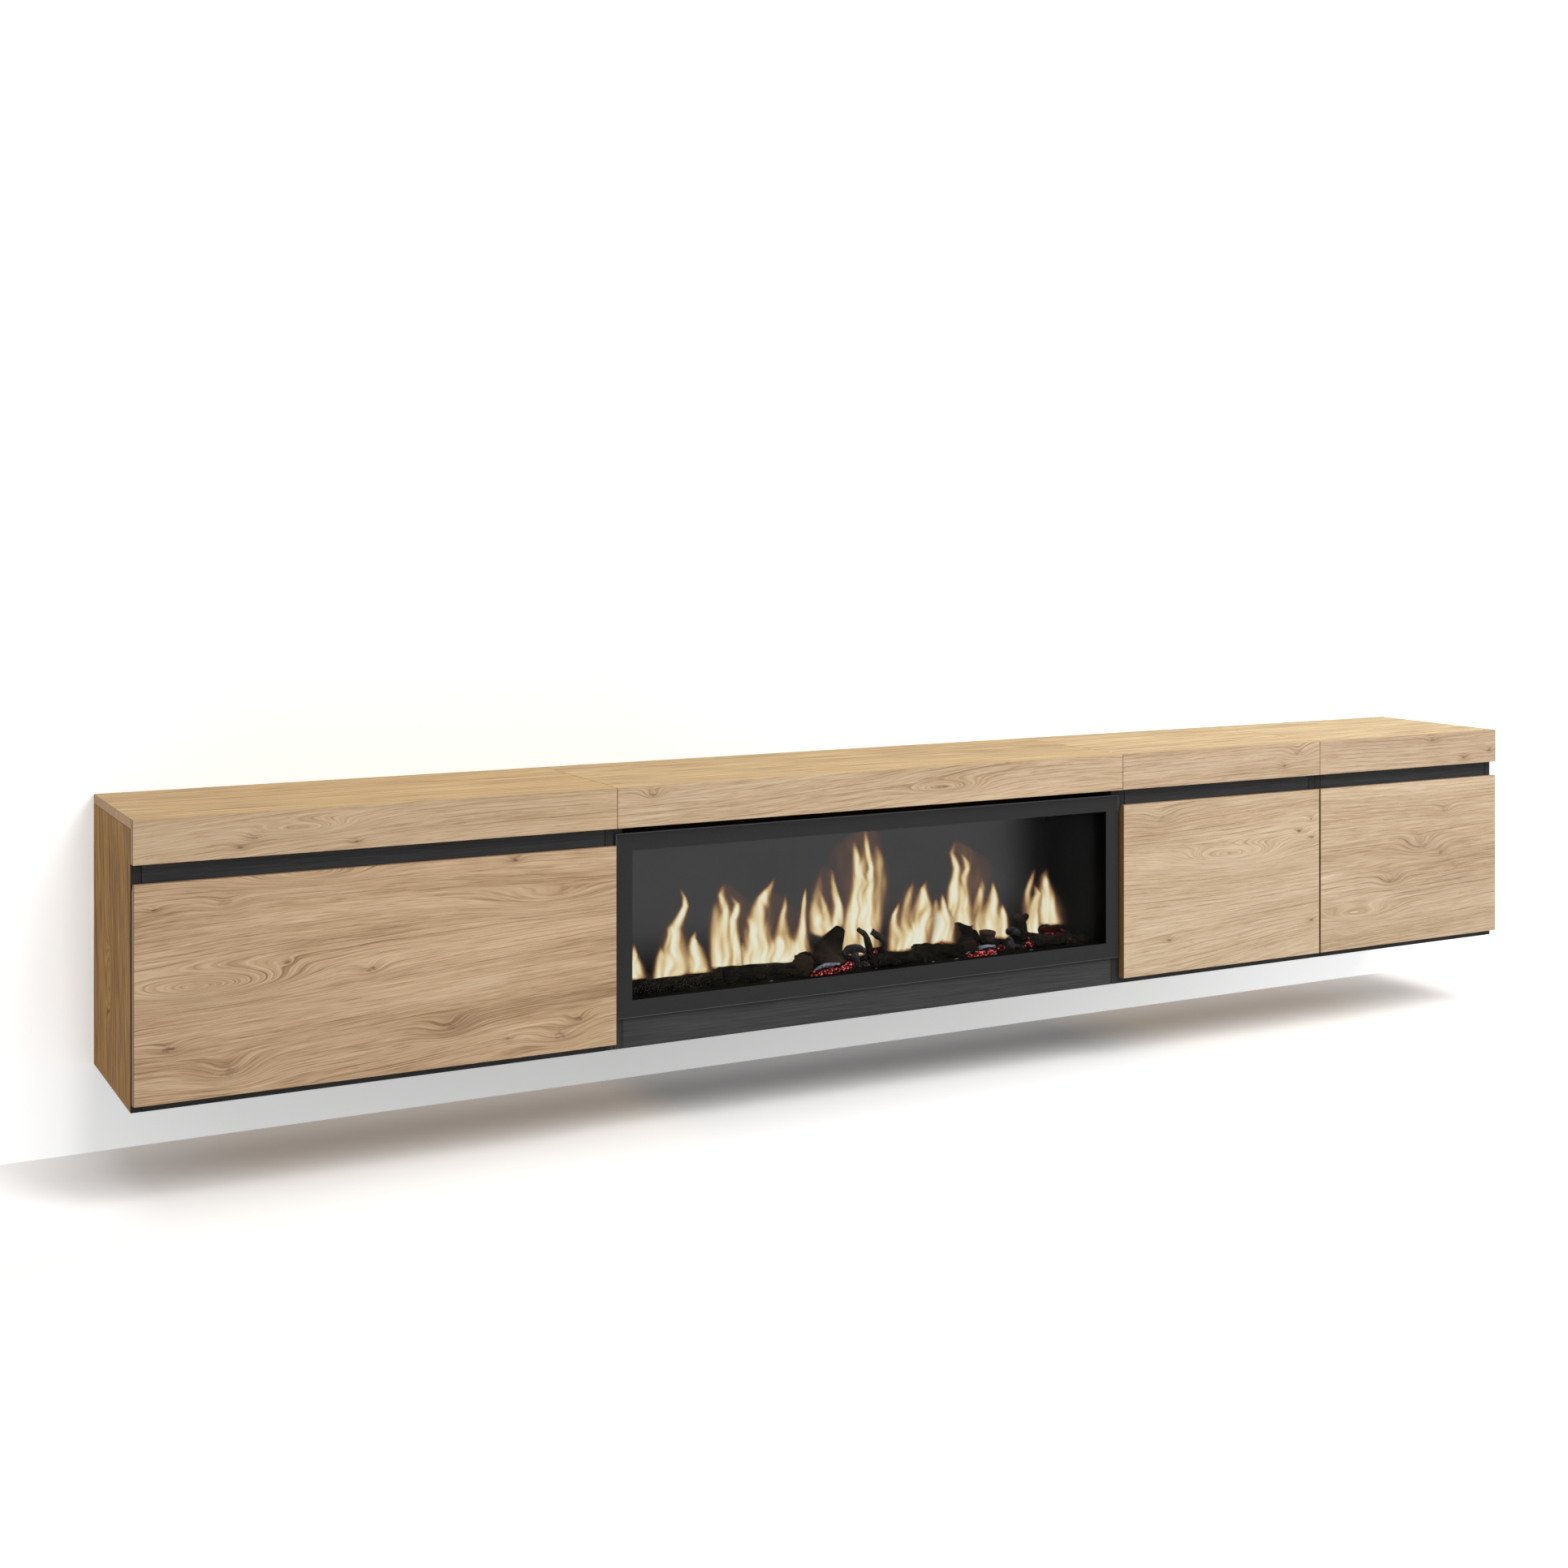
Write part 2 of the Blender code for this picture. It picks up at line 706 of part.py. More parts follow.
def flame_works(casing, casing_low, casing_back, hollow_low, hollow_high):
    """The motor, the spindle that it turns and the light bar under them, behind the flame screen."""
    axis_y = casing_back - spindle_from_back
    axis_z = hollow_low[2] + spindle_rise
    motor_high = hollow_high[0] - fit_gap
    motor_low = motor_high - motor_thickness
    motor = rod(
        "spindle_motor",
        (motor_low, axis_y, axis_z),
        (motor_high, axis_y, axis_z),
        motor_radius,
        motor_case,
        sides=large_round_sides,
    )
    shaft_end = motor_low - motor_shaft_length
    inside_motor = (motor_low + motor_high) / 2
    join(
        motor,
        rod("motor_shaft", (shaft_end, axis_y, axis_z), (inside_motor, axis_y, axis_z), motor_shaft_radius),
    )

    left_shoulder = hollow_low[0] + spindle_end_play
    right_shoulder = motor_low - spindle_end_play
    spindle = rod(
        "flame_spindle",
        (left_shoulder, axis_y, axis_z),
        (right_shoulder, axis_y, axis_z),
        spindle_radius,
        bright_foil,
    )
    end_start = (casing_low[0] - spindle_end_proud, axis_y, axis_z)
    end_stop = (left_shoulder + spindle_radius, axis_y, axis_z)
    join(spindle, rod("spindle_end", end_start, end_stop, spindle_end_radius))
    vanes_middle = (left_shoulder + right_shoulder) / 2
    pitch = (right_shoulder - left_shoulder) * vane_span_share / (vane_count - 1)
    for count in range(vane_count):
        x = vanes_middle + (count - (vane_count - 1) / 2) * pitch
        vane = block(
            f"vane_{count + 1}",
            (x - vane_length / 2, axis_y - vane_reach, axis_z - vane_sheet / 2),
            (x + vane_length / 2, axis_y + vane_reach, axis_z + vane_sheet / 2),
        )
        vane.rotation_euler = (math.radians(vane_turn_degrees) * count, 0, 0)
        join(spindle, vane)
    bore = (motor_shaft_radius + pin_play) / math.cos(math.pi / small_round_sides)
    cut(
        spindle,
        rod(
            "spindle_bore",
            (shaft_end - fit_gap, axis_y, axis_z),
            (right_shoulder + cut_overrun, axis_y, axis_z),
            bore,
        ),
    )
    hang(joint_axis("flame_spindle_axis", (vanes_middle, axis_y, axis_z)), spindle)
    bearing = (spindle_end_radius + pin_play) / math.cos(math.pi / small_round_sides)
    cut(
        casing,
        rod(
            "spindle_bearing",
            (casing_low[0] - cut_overrun, axis_y, axis_z),
            (hollow_low[0] + cut_overrun, axis_y, axis_z),
            bearing,
        ),
    )

    led_low = hollow_low[2] + fit_gap
    block(
        "led_bar",
        (hollow_low[0] + led_bar_end_room, axis_y - led_bar_width / 2, led_low),
        (hollow_high[0] - led_bar_end_room, axis_y + led_bar_width / 2, led_low + led_bar_height),
        led_board,
    )


def fireplace_cabinet(name, low_x, width):
    inner_low, inner_high, _ = carcass(name, low_x, width, False, False)
    block(
        name + "_bottom",
        (inner_low, rail_back + fit_gap, underside),
        (inner_high, -back_recess, floor_top),
        anthracite,
    )
    bezel_high = top - fascia_height - air_slot
    bezel_low = underside + panel_under_bezel
    rounded(
        block(
            name + "_lower_panel",
            (inner_low, carcass_front, underside),
            (inner_high, rail_back, bezel_low + lower_panel_overlap),
            anthracite,
        )
    )
    open_low, open_high = bezel(low_x + bezel_reveal, low_x + width - bezel_reveal, bezel_low, bezel_high)
    fire(inner_low - fit_gap, inner_high + fit_gap, open_low, open_high)


def wall_rail(low_x, high_x):
    """A steel rail, screwed to the wall, with a ledge and a lip that the side panels hook over."""
    half = rail_height / 2
    outline = [
        (0, -half),
        (0, half),
        (-rail_stand_off + rail_sheet, half),
        (-rail_stand_off + rail_sheet, half - rail_sheet + rail_lip_height),
        (-rail_stand_off, half - rail_sheet + rail_lip_height),
        (-rail_stand_off, half - rail_sheet),
        (-rail_sheet, half - rail_sheet),
        (-rail_sheet, -half),
    ]
    rail = prism("wall_rail", [outline], low_x, high_x, steel)
    for count, share in enumerate(rail_screw_shares, 1):
        x = share * (high_x - low_x)
        cut(
            rail,
            rod(
                f"rail_screw_hole_{count}",
                (x, -rail_sheet - cut_overrun, 0),
                (x, cut_overrun, 0),
                rail_screw_radius,
            ),
        )


low_x = -overall_length / 2
for place, (name, width) in enumerate(zip(names, widths)):
    first, last = place == 0, place == len(widths) - 1
    if name == "fireplace_cabinet":
        fireplace_cabinet(name, low_x, width)
    else:
        flap_cabinet(name, low_x, width, first, last)
    low_x += width + fit_gap
rail_end = overall_length / 2 - blind_skin - hook_play
wall_rail(-rail_end, rail_end)
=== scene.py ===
# %% [markdown]
# # A wall-hung media cabinet with a built-in fire
#
# Four cabinets hang side by side on one steel rail: a wide one, one with an electric fire, and two narrow
# ones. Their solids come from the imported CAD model, which is loaded here as a fixed frame. This lesson adds
# what a customer sees: oak decor with its growth rings and knots, anthracite board, black steel, charred
# logs, glowing embers and flames.

# %% Load the frame
import math

import bmesh
import bpy
import numpy as np
from mathutils import Matrix, Vector, noise


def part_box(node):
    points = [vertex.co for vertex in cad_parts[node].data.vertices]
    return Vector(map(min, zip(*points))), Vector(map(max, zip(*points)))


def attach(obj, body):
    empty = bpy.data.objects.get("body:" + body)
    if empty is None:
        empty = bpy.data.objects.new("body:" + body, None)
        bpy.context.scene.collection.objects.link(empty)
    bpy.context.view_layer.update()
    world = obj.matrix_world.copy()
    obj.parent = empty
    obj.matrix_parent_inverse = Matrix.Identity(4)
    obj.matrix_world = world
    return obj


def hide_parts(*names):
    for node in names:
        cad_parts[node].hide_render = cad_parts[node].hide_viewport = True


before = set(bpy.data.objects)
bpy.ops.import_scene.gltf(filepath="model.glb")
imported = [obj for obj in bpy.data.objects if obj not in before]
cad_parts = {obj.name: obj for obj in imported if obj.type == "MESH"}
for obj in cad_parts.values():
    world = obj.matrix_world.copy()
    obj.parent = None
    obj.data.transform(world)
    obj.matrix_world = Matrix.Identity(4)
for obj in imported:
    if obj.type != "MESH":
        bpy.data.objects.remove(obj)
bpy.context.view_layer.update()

scene = bpy.context.scene
scene.view_settings.view_transform = "Standard"

# %% [markdown]
# ## The camera
#
# The photograph was taken from the left of the cabinet, a little over its top, and its uprights stay
# parallel. A camera that looks down would let them run together, so this one stays level and its frame is
# shifted down instead, as with an architect's lens.

# %% Camera
photo_side = 1932
focal_pixels = 2516.03
optical_centre = (966.0, 643.815)
camera_turn = math.radians(28.098)
eye = Vector((-2.0417, -3.5629, 0.5249))

camera_data = bpy.data.cameras.new("photo_camera")
camera_data.sensor_width = 36
camera_data.lens = focal_pixels / photo_side * camera_data.sensor_width
camera_data.shift_y = (optical_centre[1] - photo_side / 2) / photo_side
camera = bpy.data.objects.new("photo_camera", camera_data)
camera.location = eye
camera.rotation_euler = (math.pi / 2, 0, -camera_turn)
scene.collection.objects.link(camera)
scene.camera = camera
print(f"camera: {camera_data.lens:.2f} mm lens, shifted by {camera_data.shift_y:.4f} of the frame")

# %% [markdown]
# The flames and embers are placed where the photograph shows them. This helper follows the line of sight
# through a spot of the photograph until it meets an upright plane at a chosen depth inside the fire.


# %% From a spot of the photograph to a place in the fire
def seen_at(across, down, depth):
    """The point of the plane y = depth that shows at this spot of the photograph."""
    side = (across - optical_centre[0]) / focal_pixels
    rise = (optical_centre[1] - down) / focal_pixels
    ray = Vector((
        math.sin(camera_turn) + side * math.cos(camera_turn),
        math.cos(camera_turn) - side * math.sin(camera_turn),
        rise,
    ))
    return eye + ray * ((depth - eye.y) / ray.y)


print("opening's lower left corner:", [round(v, 3) for v in seen_at(779, 1232, -0.3306)])

# %% [markdown]
# ## Shader maths as expressions
#
# A material in Blender is a web of nodes. Wiring it link by link hides the idea, so a small class wraps a
# node's output and gives it + - * / and **, and each use adds the Math node that does the sum. Every other
# node comes from one method, which sets what the node is before it fills its sockets.


# %% Signals and node sheets
def arithmetic(operation, swapped=False):
    """A method that adds a Math node for itself and another value, or for the two swapped."""
    def method(self, other):
        return self.sheet.maths(operation, *((other, self) if swapped else (self, other)))

    return method


class Signal:
    """A node's output. Arithmetic on it adds the Math node that works it out."""

    def __init__(self, sheet, socket):
        self.sheet = sheet
        self.socket = socket

    __add__ = __radd__ = arithmetic("ADD")
    __mul__ = __rmul__ = arithmetic("MULTIPLY")
    __sub__, __rsub__ = arithmetic("SUBTRACT"), arithmetic("SUBTRACT", swapped=True)
    __truediv__ = arithmetic("DIVIDE")
    __pow__ = arithmetic("POWER")


class Sheet:
    """The nodes of one material or of the world."""

    def __init__(self, tree):
        self.tree = tree

    def node(self, kind, settings=None, sockets=None, output=0):
        """Adds a node: its settings first, then its sockets. Gives back one of its outputs."""
        made = self.tree.nodes.new(kind)
        for name, value in (settings or {}).items():
            if name == "stops":
                self.set_stops(made.color_ramp, value)
            else:
                setattr(made, name, value)
        for name, value in (sockets or {}).items():
            self.plug(made.inputs[name], value)
        return Signal(self, made.outputs[output])

    def plug(self, socket, value):
        if isinstance(value, Signal):
            self.tree.links.new(value.socket, socket)
        else:
            socket.default_value = value

    def set_stops(self, ramp, stops):
        while len(ramp.elements) < len(stops):
            ramp.elements.new(0.5)
        for element, (place, colour) in zip(ramp.elements, stops):
            element.position = place
            element.color = (*colour, 1)

    def maths(self, operation, *values):
        return self.node("ShaderNodeMath", {"operation": operation}, dict(enumerate(values)))

    def smooth(self, value, start, end):
        """Rises smoothly from 0 at start to 1 at end."""
        return self.node(
            "ShaderNodeMapRange",
            {"interpolation_type": "SMOOTHSTEP"},
            {"Value": value, "From Min": start, "From Max": end},
        )

    def between(self, value, low, high):
        """Takes 0..1 to low..high."""
        return value * (high - low) + low

    def ramp(self, value, *stops):
        return self.node("ShaderNodeValToRGB", {"stops": stops}, {"Fac": value})

    def blend(self, share, first, second):
        """A colour between two others."""
        sockets = {0: share, 6: self.colour(first), 7: self.colour(second)}
        return self.node("ShaderNodeMix", {"data_type": "RGBA"}, sockets, 2)

    def colour(self, value):
        return value if isinstance(value, Signal) else (*value, 1)

    def vector(self, x=0.0, y=0.0, z=0.0):
        return self.node("ShaderNodeCombineXYZ", sockets={0: x, 1: y, 2: z})

    def split(self, vector):
        made = self.node("ShaderNodeSeparateXYZ", sockets={0: vector})
        return made, *[Signal(self, made.socket.node.outputs[count]) for count in (1, 2)]

    def noise(self, vector, detail=2.0, roughness=0.5):
        sockets = {"Vector": vector, "Scale": 1.0, "Detail": detail, "Roughness": roughness}
        return self.node("ShaderNodeTexNoise", sockets=sockets)


class Finish(Sheet):
    """A material: a Principled shader with constants of its own, and the nodes that feed it."""

    def __init__(self, name, **constants):
        self.material = bpy.data.materials.new(name)
        self.material.use_nodes = True
        super().__init__(self.material.node_tree)
        self.shader = self.tree.nodes["Principled BSDF"]
        self.feed(constants)

    def feed(self, values):
        for name, value in values.items():
            self.plug(self.shader.inputs[name.replace("_", " ")], value)

    def place(self):
        """Where a point is, in metres, in the frame of the piece's own body at rest."""
        return self.node("ShaderNodeTexCoord", output="Object")

    def facing(self, axis):
        """How far the surface faces along one axis of that same frame, from -1 to 1."""
        return self.split(self.node("ShaderNodeTexCoord", output="Normal"))[axis]

    def from_ends(self, place, low, high):
        """How far a place is from the nearer one of two ends."""
        return self.maths("MINIMUM", place - low, high - place)

    def cloud(self, scales, detail=2.0, roughness=0.5, shift=0.0):
        """Noise over the piece. Scales say how fine it is along x, y and z, in waves per metre."""
        x, y, z = [axis * scale for axis, scale in zip(self.split(self.place()), scales)]
        return self.noise(self.vector(x, y, z + shift), detail, roughness)

    def attribute(self, name):
        """A number that the mesh keeps at each of its vertices."""
        return self.node("ShaderNodeAttribute", {"attribute_name": name}, output="Fac")

    def bump(self, height, depth):
        """A relief of up to depth metres for the Normal socket."""
        return self.node("ShaderNodeBump", sockets={"Height": height, "Strength": 0.6, "Distance": depth})


def grey(level):
    return (level,) * 3


def tinted(colour, tint):
    return tuple(part * share for part, share in zip(colour, tint))


def dress(node_name, finish):
    """Gives a CAD node its finish."""
    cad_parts[node_name].material_slots[0].material = finish.material


print("signals and sheets are ready")

# %% [markdown]
# ## Oak decor
#
# The fronts are printed oak: pinkish beige, with the grain along the cabinet. Growth rings are the level
# lines of a slow height field, as on a map of hills. A ramp across the board makes parallel lines, slow
# noise bends them into arches, and each knot is a small hill that the lines have to go round. Bands,
# streaks, fibres and pores are noise that is stretched along the grain and read at the height of a ring, so
# they bend with the rings. An image of oak would repeat and would need a file; this stays sharp and differs
# on each board.


# %% The grain of one board
def knot_swells(finish, along, across, knots):
    """The hills that knots add to the height field, their dark hearts and the shade round them.

    A hill without a heart is drawn out along the grain, and makes the nested arches of a plain-sawn board.
    """
    cracks = finish.noise(finish.vector(along * 90, across * 210, 1.7), 3, 0.7)
    ragged = finish.between(cracks, 0.62, 1.38)
    swell, heart, shade = 0.0, 0.0, 0.0
    for x, z, size, rings, darkness in knots:
        stretch = 2.3 if darkness else 6.5
        away = finish.node(
            "ShaderNodeVectorMath", {"operation": "DISTANCE"},
            {0: finish.vector(along / stretch, across), 1: (x / stretch, z, 0)}, "Value",
        )
        hill = finish.maths("EXPONENT", (away / size) ** 2 * -1)
        swell = hill * rings + swell
        if darkness:
            shade = hill * darkness + shade
            heart = finish.maths("MAXIMUM", finish.smooth(hill * ragged, 0.86, 1.06) * darkness, heart)
    return swell, heart, shade


rings_per_metre = 110
mean_tone = 0.60
line_darkness, pore_darkness, shade_darkness = 0.50, 0.22, 0.30


def oak_tone(finish, along, across, seed, knots, unrest, fine):
    """How light the oak is, from 0 in a dark line to 1, and the knots' dark hearts."""
    def grain(per_metre_along, per_metre_across, detail, shift, level=across):
        stretched = finish.vector(along * per_metre_along, level * per_metre_across, seed + shift)
        return finish.noise(stretched, detail, 0.55)

    swell, heart, shade = knot_swells(finish, along, across, knots)
    slopes = grain(0.9, 4.2, 0, 0.0) * 11 + grain(6, 38, 1, 29.7) * 0.8 - along * 3.5
    height = across * rings_per_metre + slopes + swell
    layer = height / rings_per_metre
    line = finish.maths("FRACT", height) ** 8
    strength = finish.smooth(grain(3, 22, 2, 3.1), 0.34, 0.66)
    bands = grain(1.3, 17, 3, 7.7, layer)
    streaks = grain(2.6, 210, 4, 11.3, layer)
    fibres = grain(13, 640, 3, 17.9, layer)
    pores = finish.smooth(grain(34, 900, 1, 23.3, layer), 0.58, 0.74)
    tone = (bands - 0.5) * unrest + (streaks - 0.5) * 0.6 * fine + (fibres - 0.5) * 1.5 * fine + mean_tone
    return tone - line * strength * line_darkness - pores * pore_darkness - shade * shade_darkness, heart


print("oak grain is ready")

# %% [markdown]
# A board shows more than its face. Its ends and its upper edge carry a glued band whose joint is a thin
# brown line, with the gap to the next board beside it. So the finish looks up the board's own box and darkens
# the last millimetre: the joint and painted shade of the gap. On a flap the whole upper edge is darkened
# this way, as painted shade under the fascia.

# %% The finish of one board
heart_of_knot = (0.135, 0.072, 0.040)
ring_line = (0.330, 0.205, 0.115)
dark_oak = (0.500, 0.335, 0.195)
middle_oak = (0.650, 0.462, 0.288)
light_oak = (0.860, 0.665, 0.455)
# The dark rim's colour: a joint line together with painted shade of the gap beside a board.
joint_and_gap_shade = (0.170, 0.075, 0.025)
front_end_band = (0.340, 0.195, 0.066)
fascia_end_band = (0.377, 0.180, 0.050)
top_end_band = (0.528, 0.286, 0.084)
oak_stops = (0.06, 0.36, 0.58, 1.0)


def oak_paint(finish, tone, tint):
    """The decor's colours from a dark line to light wood."""
    colours = (ring_line, dark_oak, middle_oak, light_oak)
    return finish.ramp(tone, *[(place, tinted(colour, tint)) for place, colour in zip(oak_stops, colours)])


def oak_board(node_name, seed, knots, tint, unrest, fine, rim=0.0012, upper_rim=False, flat=False,
              end_band=front_end_band, painted_top_light_tint=None):
    """Dresses one oak board. A flat board is a top, whose grain is read from above.

    Unrest says how strong the broad bands are, and fine how strong the streaks and fibres are. Rim is the
    width of the brown line at its ends, in metres: the band's joint and painted shade of the gap beside it.
    """
    oak = Finish("oak_" + node_name, Roughness=0.52, Specular_IOR_Level=0.25)
    low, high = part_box(node_name)
    x, y, z = oak.split(oak.place())
    across = (y + z * 0.7) * 0.42 if flat else z + y * 0.7
    shifted = [(knot_x, knot_z + low.y * 0.7, *looks) for knot_x, knot_z, *looks in knots]
    tone, heart = oak_tone(oak, x * 0.45 if flat else x, across, seed, shifted, unrest, fine)
    paint = oak.blend(heart, oak_paint(oak, tone, tint), tinted(heart_of_knot, tint))
    edge = oak.from_ends(x, low.x, high.x)
    if upper_rim:
        edge = oak.maths("MINIMUM", edge, high.z - z)
    # Painted shade of the gaps, on the band's joint; on a flap also its upper edge, shaded by the fascia.
    joint_and_gap_shade_mask = oak.smooth(edge, rim, rim * 0.5)
    paint = oak.blend(joint_and_gap_shade_mask * 0.75, paint, joint_and_gap_shade)
    if painted_top_light_tint:
        # Painted light: faces that look up take a yellower copy of the oak, as if lit warm from above.
        upwards = oak.smooth(oak.facing(2), 0.3, 0.6)
        paint = oak.blend(upwards, paint, oak_paint(oak, tone, tinted(tint, painted_top_light_tint)))
    sideways = oak.maths("ABSOLUTE", oak.facing(0))
    band = oak.ramp(tone, (0.2, tinted(end_band, grey(0.8))), (0.8, end_band))
    paint = oak.blend(oak.smooth(sideways, 0.6, 0.8), paint, band)
    oak.feed({"Base Color": paint, "Normal": oak.bump(tone, 0.0004)})
    dress(node_name, oak)


print("oak boards are ready")

# %% [markdown]
# Each board gets the knots that the photograph shows on it. Each is written as its place along the front, its
# height, its size, all in metres, how many rings it pushes aside, and how dark its heart is. Without a dark
# heart it makes a nest of arches.

# %% Fascias and flaps
wide_flap_knots = (
    (-1.310, -0.068, 0.014, 1.1, 0.35), (-1.419, -0.070, 0.006, 0.5, 0.8), (-1.080, -0.196, 0.012, 1.4, 0.80),
    (-1.212, -0.171, 0.006, 0.6, 0.7), (-1.396, -0.287, 0.012, 0.9, 0.8), (-1.305, -0.333, 0.024, 2.4, 0.40),
    (-0.833, -0.039, 0.008, 0.8, 0.9), (-0.948, -0.305, 0.018, 1.8, 0.50), (-0.718, -0.317, 0.012, 1.2, 0.55),
    (-0.844, -0.335, 0.005, 0.5, 0.8), (-0.749, -0.341, 0.020, 1.8, 0.45), (-1.345, -0.198, 0.022, 6.5, 0.0),
    (-1.180, -0.036, 0.018, 4.0, 0.0), (-0.760, -0.110, 0.020, 3.0, 0.0),
)
wide_fascia_knots = (
    (-1.266, 0.029, 0.008, 1.0, 0.9), (-1.286, 0.016, 0.007, 0.8, 0.7), (-1.102, 0.012, 0.006, 0.5, 0.9),
    (-1.180, 0.038, 0.012, 3.0, 0.0),
)
fire_fascia_knots = ((-0.578, 0.054, 0.010, 1.2, 0.5), (0.020, 0.030, 0.012, 3.0, 0.0))
middle_flap_knots = (
    (0.526, -0.063, 0.018, 1.6, 0.25), (0.885, -0.113, 0.007, 0.8, 0.9), (0.918, -0.127, 0.010, 1.0, 0.7),
    (0.918, -0.090, 0.008, 0.8, 0.6), (0.547, -0.305, 0.007, 0.6, 0.9), (0.918, -0.300, 0.007, 0.6, 0.8),
    (0.700, -0.150, 0.020, 4.0, 0.0),
)
end_flap_knots = (
    (1.141, -0.235, 0.015, 1.6, 0.40), (1.227, -0.168, 0.022, 2.6, 0.30), (1.284, -0.187, 0.012, 1.2, 0.5),
    (1.297, -0.095, 0.012, 1.3, 0.35), (1.050, -0.300, 0.018, 3.0, 0.0),
)
middle_fascia_knots = ((0.843, 0.025, 0.008, 0.9, 0.8), (0.883, 0.050, 0.016, 1.8, 0.4))
end_fascia_knots = (
    (1.260, 0.057, 0.008, 0.8, 0.7), (1.355, 0.013, 0.008, 0.8, 0.9), (1.432, 0.027, 0.008, 0.8, 0.7),
)

for node_name, seed, knots, tint, unrest, fine in (
    ("wide_cabinet_flap", 2.0, wide_flap_knots, (0.94, 0.89, 0.84), 1.4, 1.0),
    ("middle_cabinet_flap", 31.0, middle_flap_knots, (1.04, 1.08, 1.11), 0.7, 0.75),
    ("end_cabinet_flap", 47.0, end_flap_knots, (1.05, 1.09, 1.13), 0.9, 0.75),
):
    oak_board(node_name, seed, knots, tint, unrest, fine, upper_rim=True)
for node_name, seed, knots, tint, unrest in (
    ("wide_cabinet_fascia", 61.0, wide_fascia_knots, (0.99, 0.985, 0.963), 0.45),
    ("fireplace_cabinet_fascia", 74.0, fire_fascia_knots, (1.00, 1.01, 1.02), 0.6),
    ("middle_cabinet_fascia", 88.0, middle_fascia_knots, (1.02, 1.04, 1.09), 0.8),
    ("end_cabinet_fascia", 93.0, end_fascia_knots, (0.99, 1.01, 1.07), 0.4),
):
    oak_board(
        node_name, seed, knots, tint, unrest, 0.75, rim=0.0009, end_band=fascia_end_band,
        painted_top_light_tint=(0.80, 0.74, 0.52),
    )
print("fronts: 3 flaps and 4 fascias")

# %% [markdown]
# The tops catch the lamp, and their tints make them more yellow than the fronts: painted warm light from
# above. Each is a little paler than the one to its left, so each has a tint of its own. No knot shows on
# them.

# %% Top boards
# Each tint holds painted warm light from above.
for node_name, seed, tint in (
    ("wide_cabinet_top", 105.0, (0.81, 0.70, 0.43)), ("fireplace_cabinet_top", 118.0, (0.815, 0.74, 0.485)),
    ("middle_cabinet_top", 131.0, (0.82, 0.77, 0.54)), ("end_cabinet_top", 146.0, (0.82, 0.79, 0.56)),
):
    oak_board(node_name, seed, (), tint, 0.35, 1.9, rim=0.0006, flat=True, end_band=top_end_band)
print("tops: 4 boards")

# %% [markdown]
# ## Anthracite board
#
# Carcasses, rails and the panel under the fire are dark grey decor with a fine wood grain. Two stretched
# noises give it, and a black hairline of painted shade marks the gap where a board meets its neighbour.


# %% The anthracite finish
dark_anthracite, fair_anthracite = (0.021, 0.021, 0.022), (0.063, 0.063, 0.064)
hairline = grey(0.003)
seam_width = 0.0012


def anthracite_tone(finish, along, across, seed):
    fine = finish.noise(finish.vector(along * 9, across * 420, seed), 3, 0.6)
    broad = finish.noise(finish.vector(along * 3, across * 60, seed + 5.0), 2, 0.6)
    return (fine - 0.5) * 0.9 + (broad - 0.5) * 0.5 + 0.5


def anthracite_paint(finish, tone, light=1.0):
    dark, fair = [tinted(colour, grey(light)) for colour in (dark_anthracite, fair_anthracite)]
    return finish.ramp(tone, (0.15, dark), (0.85, fair))


def anthracite_board(node_name, seed, upright=False, light=1.0):
    board = Finish("anthracite_" + node_name, Roughness=0.6, Specular_IOR_Level=0.12)
    low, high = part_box(node_name)
    x, y, z = board.split(board.place())
    along, across = (z, x + y) if upright else (x, z + y)
    tone = anthracite_tone(board, along, across, seed)
    edge = board.from_ends(x, low.x, high.x)
    sideways = board.maths("ABSOLUTE", board.facing(0))
    # Painted shade of the gap: a black hairline at the board's ends.
    line = board.smooth(edge, seam_width, seam_width * 0.4) * board.smooth(sideways, 0.7, 0.4)
    paint = board.blend(line, anthracite_paint(board, tone, light), hairline)
    board.feed({"Base Color": paint, "Normal": board.bump(tone, 0.0003)})
    dress(node_name, board)


for count, node_name in enumerate(sorted(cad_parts)):
    if node_name.endswith(("cabinet_rail", "lower_panel")):
        # Painted light: rails and the panel under the fire take the same decor 1.35 times lighter.
        anthracite_board(node_name, 200.0 + count, light=1.35)
    elif node_name.endswith(("_bottom", "_side")):
        anthracite_board(node_name, 200.0 + count, upright=node_name.endswith("_side"))
print("anthracite boards are ready")

# %% [markdown]
# The left end of the cabinet is the one side panel that shows, and its outer face is oak too, browner and
# with upright grain, with painted shade on it, since it faces away from the lamp. Its inner face stays
# anthracite. One finish holds both, and the way the surface faces decides.

# %% The left end panel
end_panel = Finish("oak_end_panel", Roughness=0.6, Specular_IOR_Level=0.08)
_, y, z = end_panel.split(end_panel.place())
end_tone, _ = oak_tone(end_panel, z, y * 0.4, 171.0, ((-0.210, -0.060, 0.010, 2.4, 0.0),), 1.7, 1.8)
# Browner oak with painted shade: the side faces away from the lamp.
end_colours_with_painted_shade = ((0.160, 0.068, 0.0125), (0.330, 0.150, 0.0295), (0.428, 0.211, 0.0420), (0.567, 0.302, 0.0690))
end_oak = end_panel.ramp(end_tone, *zip(oak_stops, end_colours_with_painted_shade))
outwards = end_panel.smooth(end_panel.facing(0), -0.4, -0.6)
inner_tone = anthracite_tone(end_panel, z, y, 9.0)
end_paint = end_panel.blend(outwards, anthracite_paint(end_panel, inner_tone), end_oak)
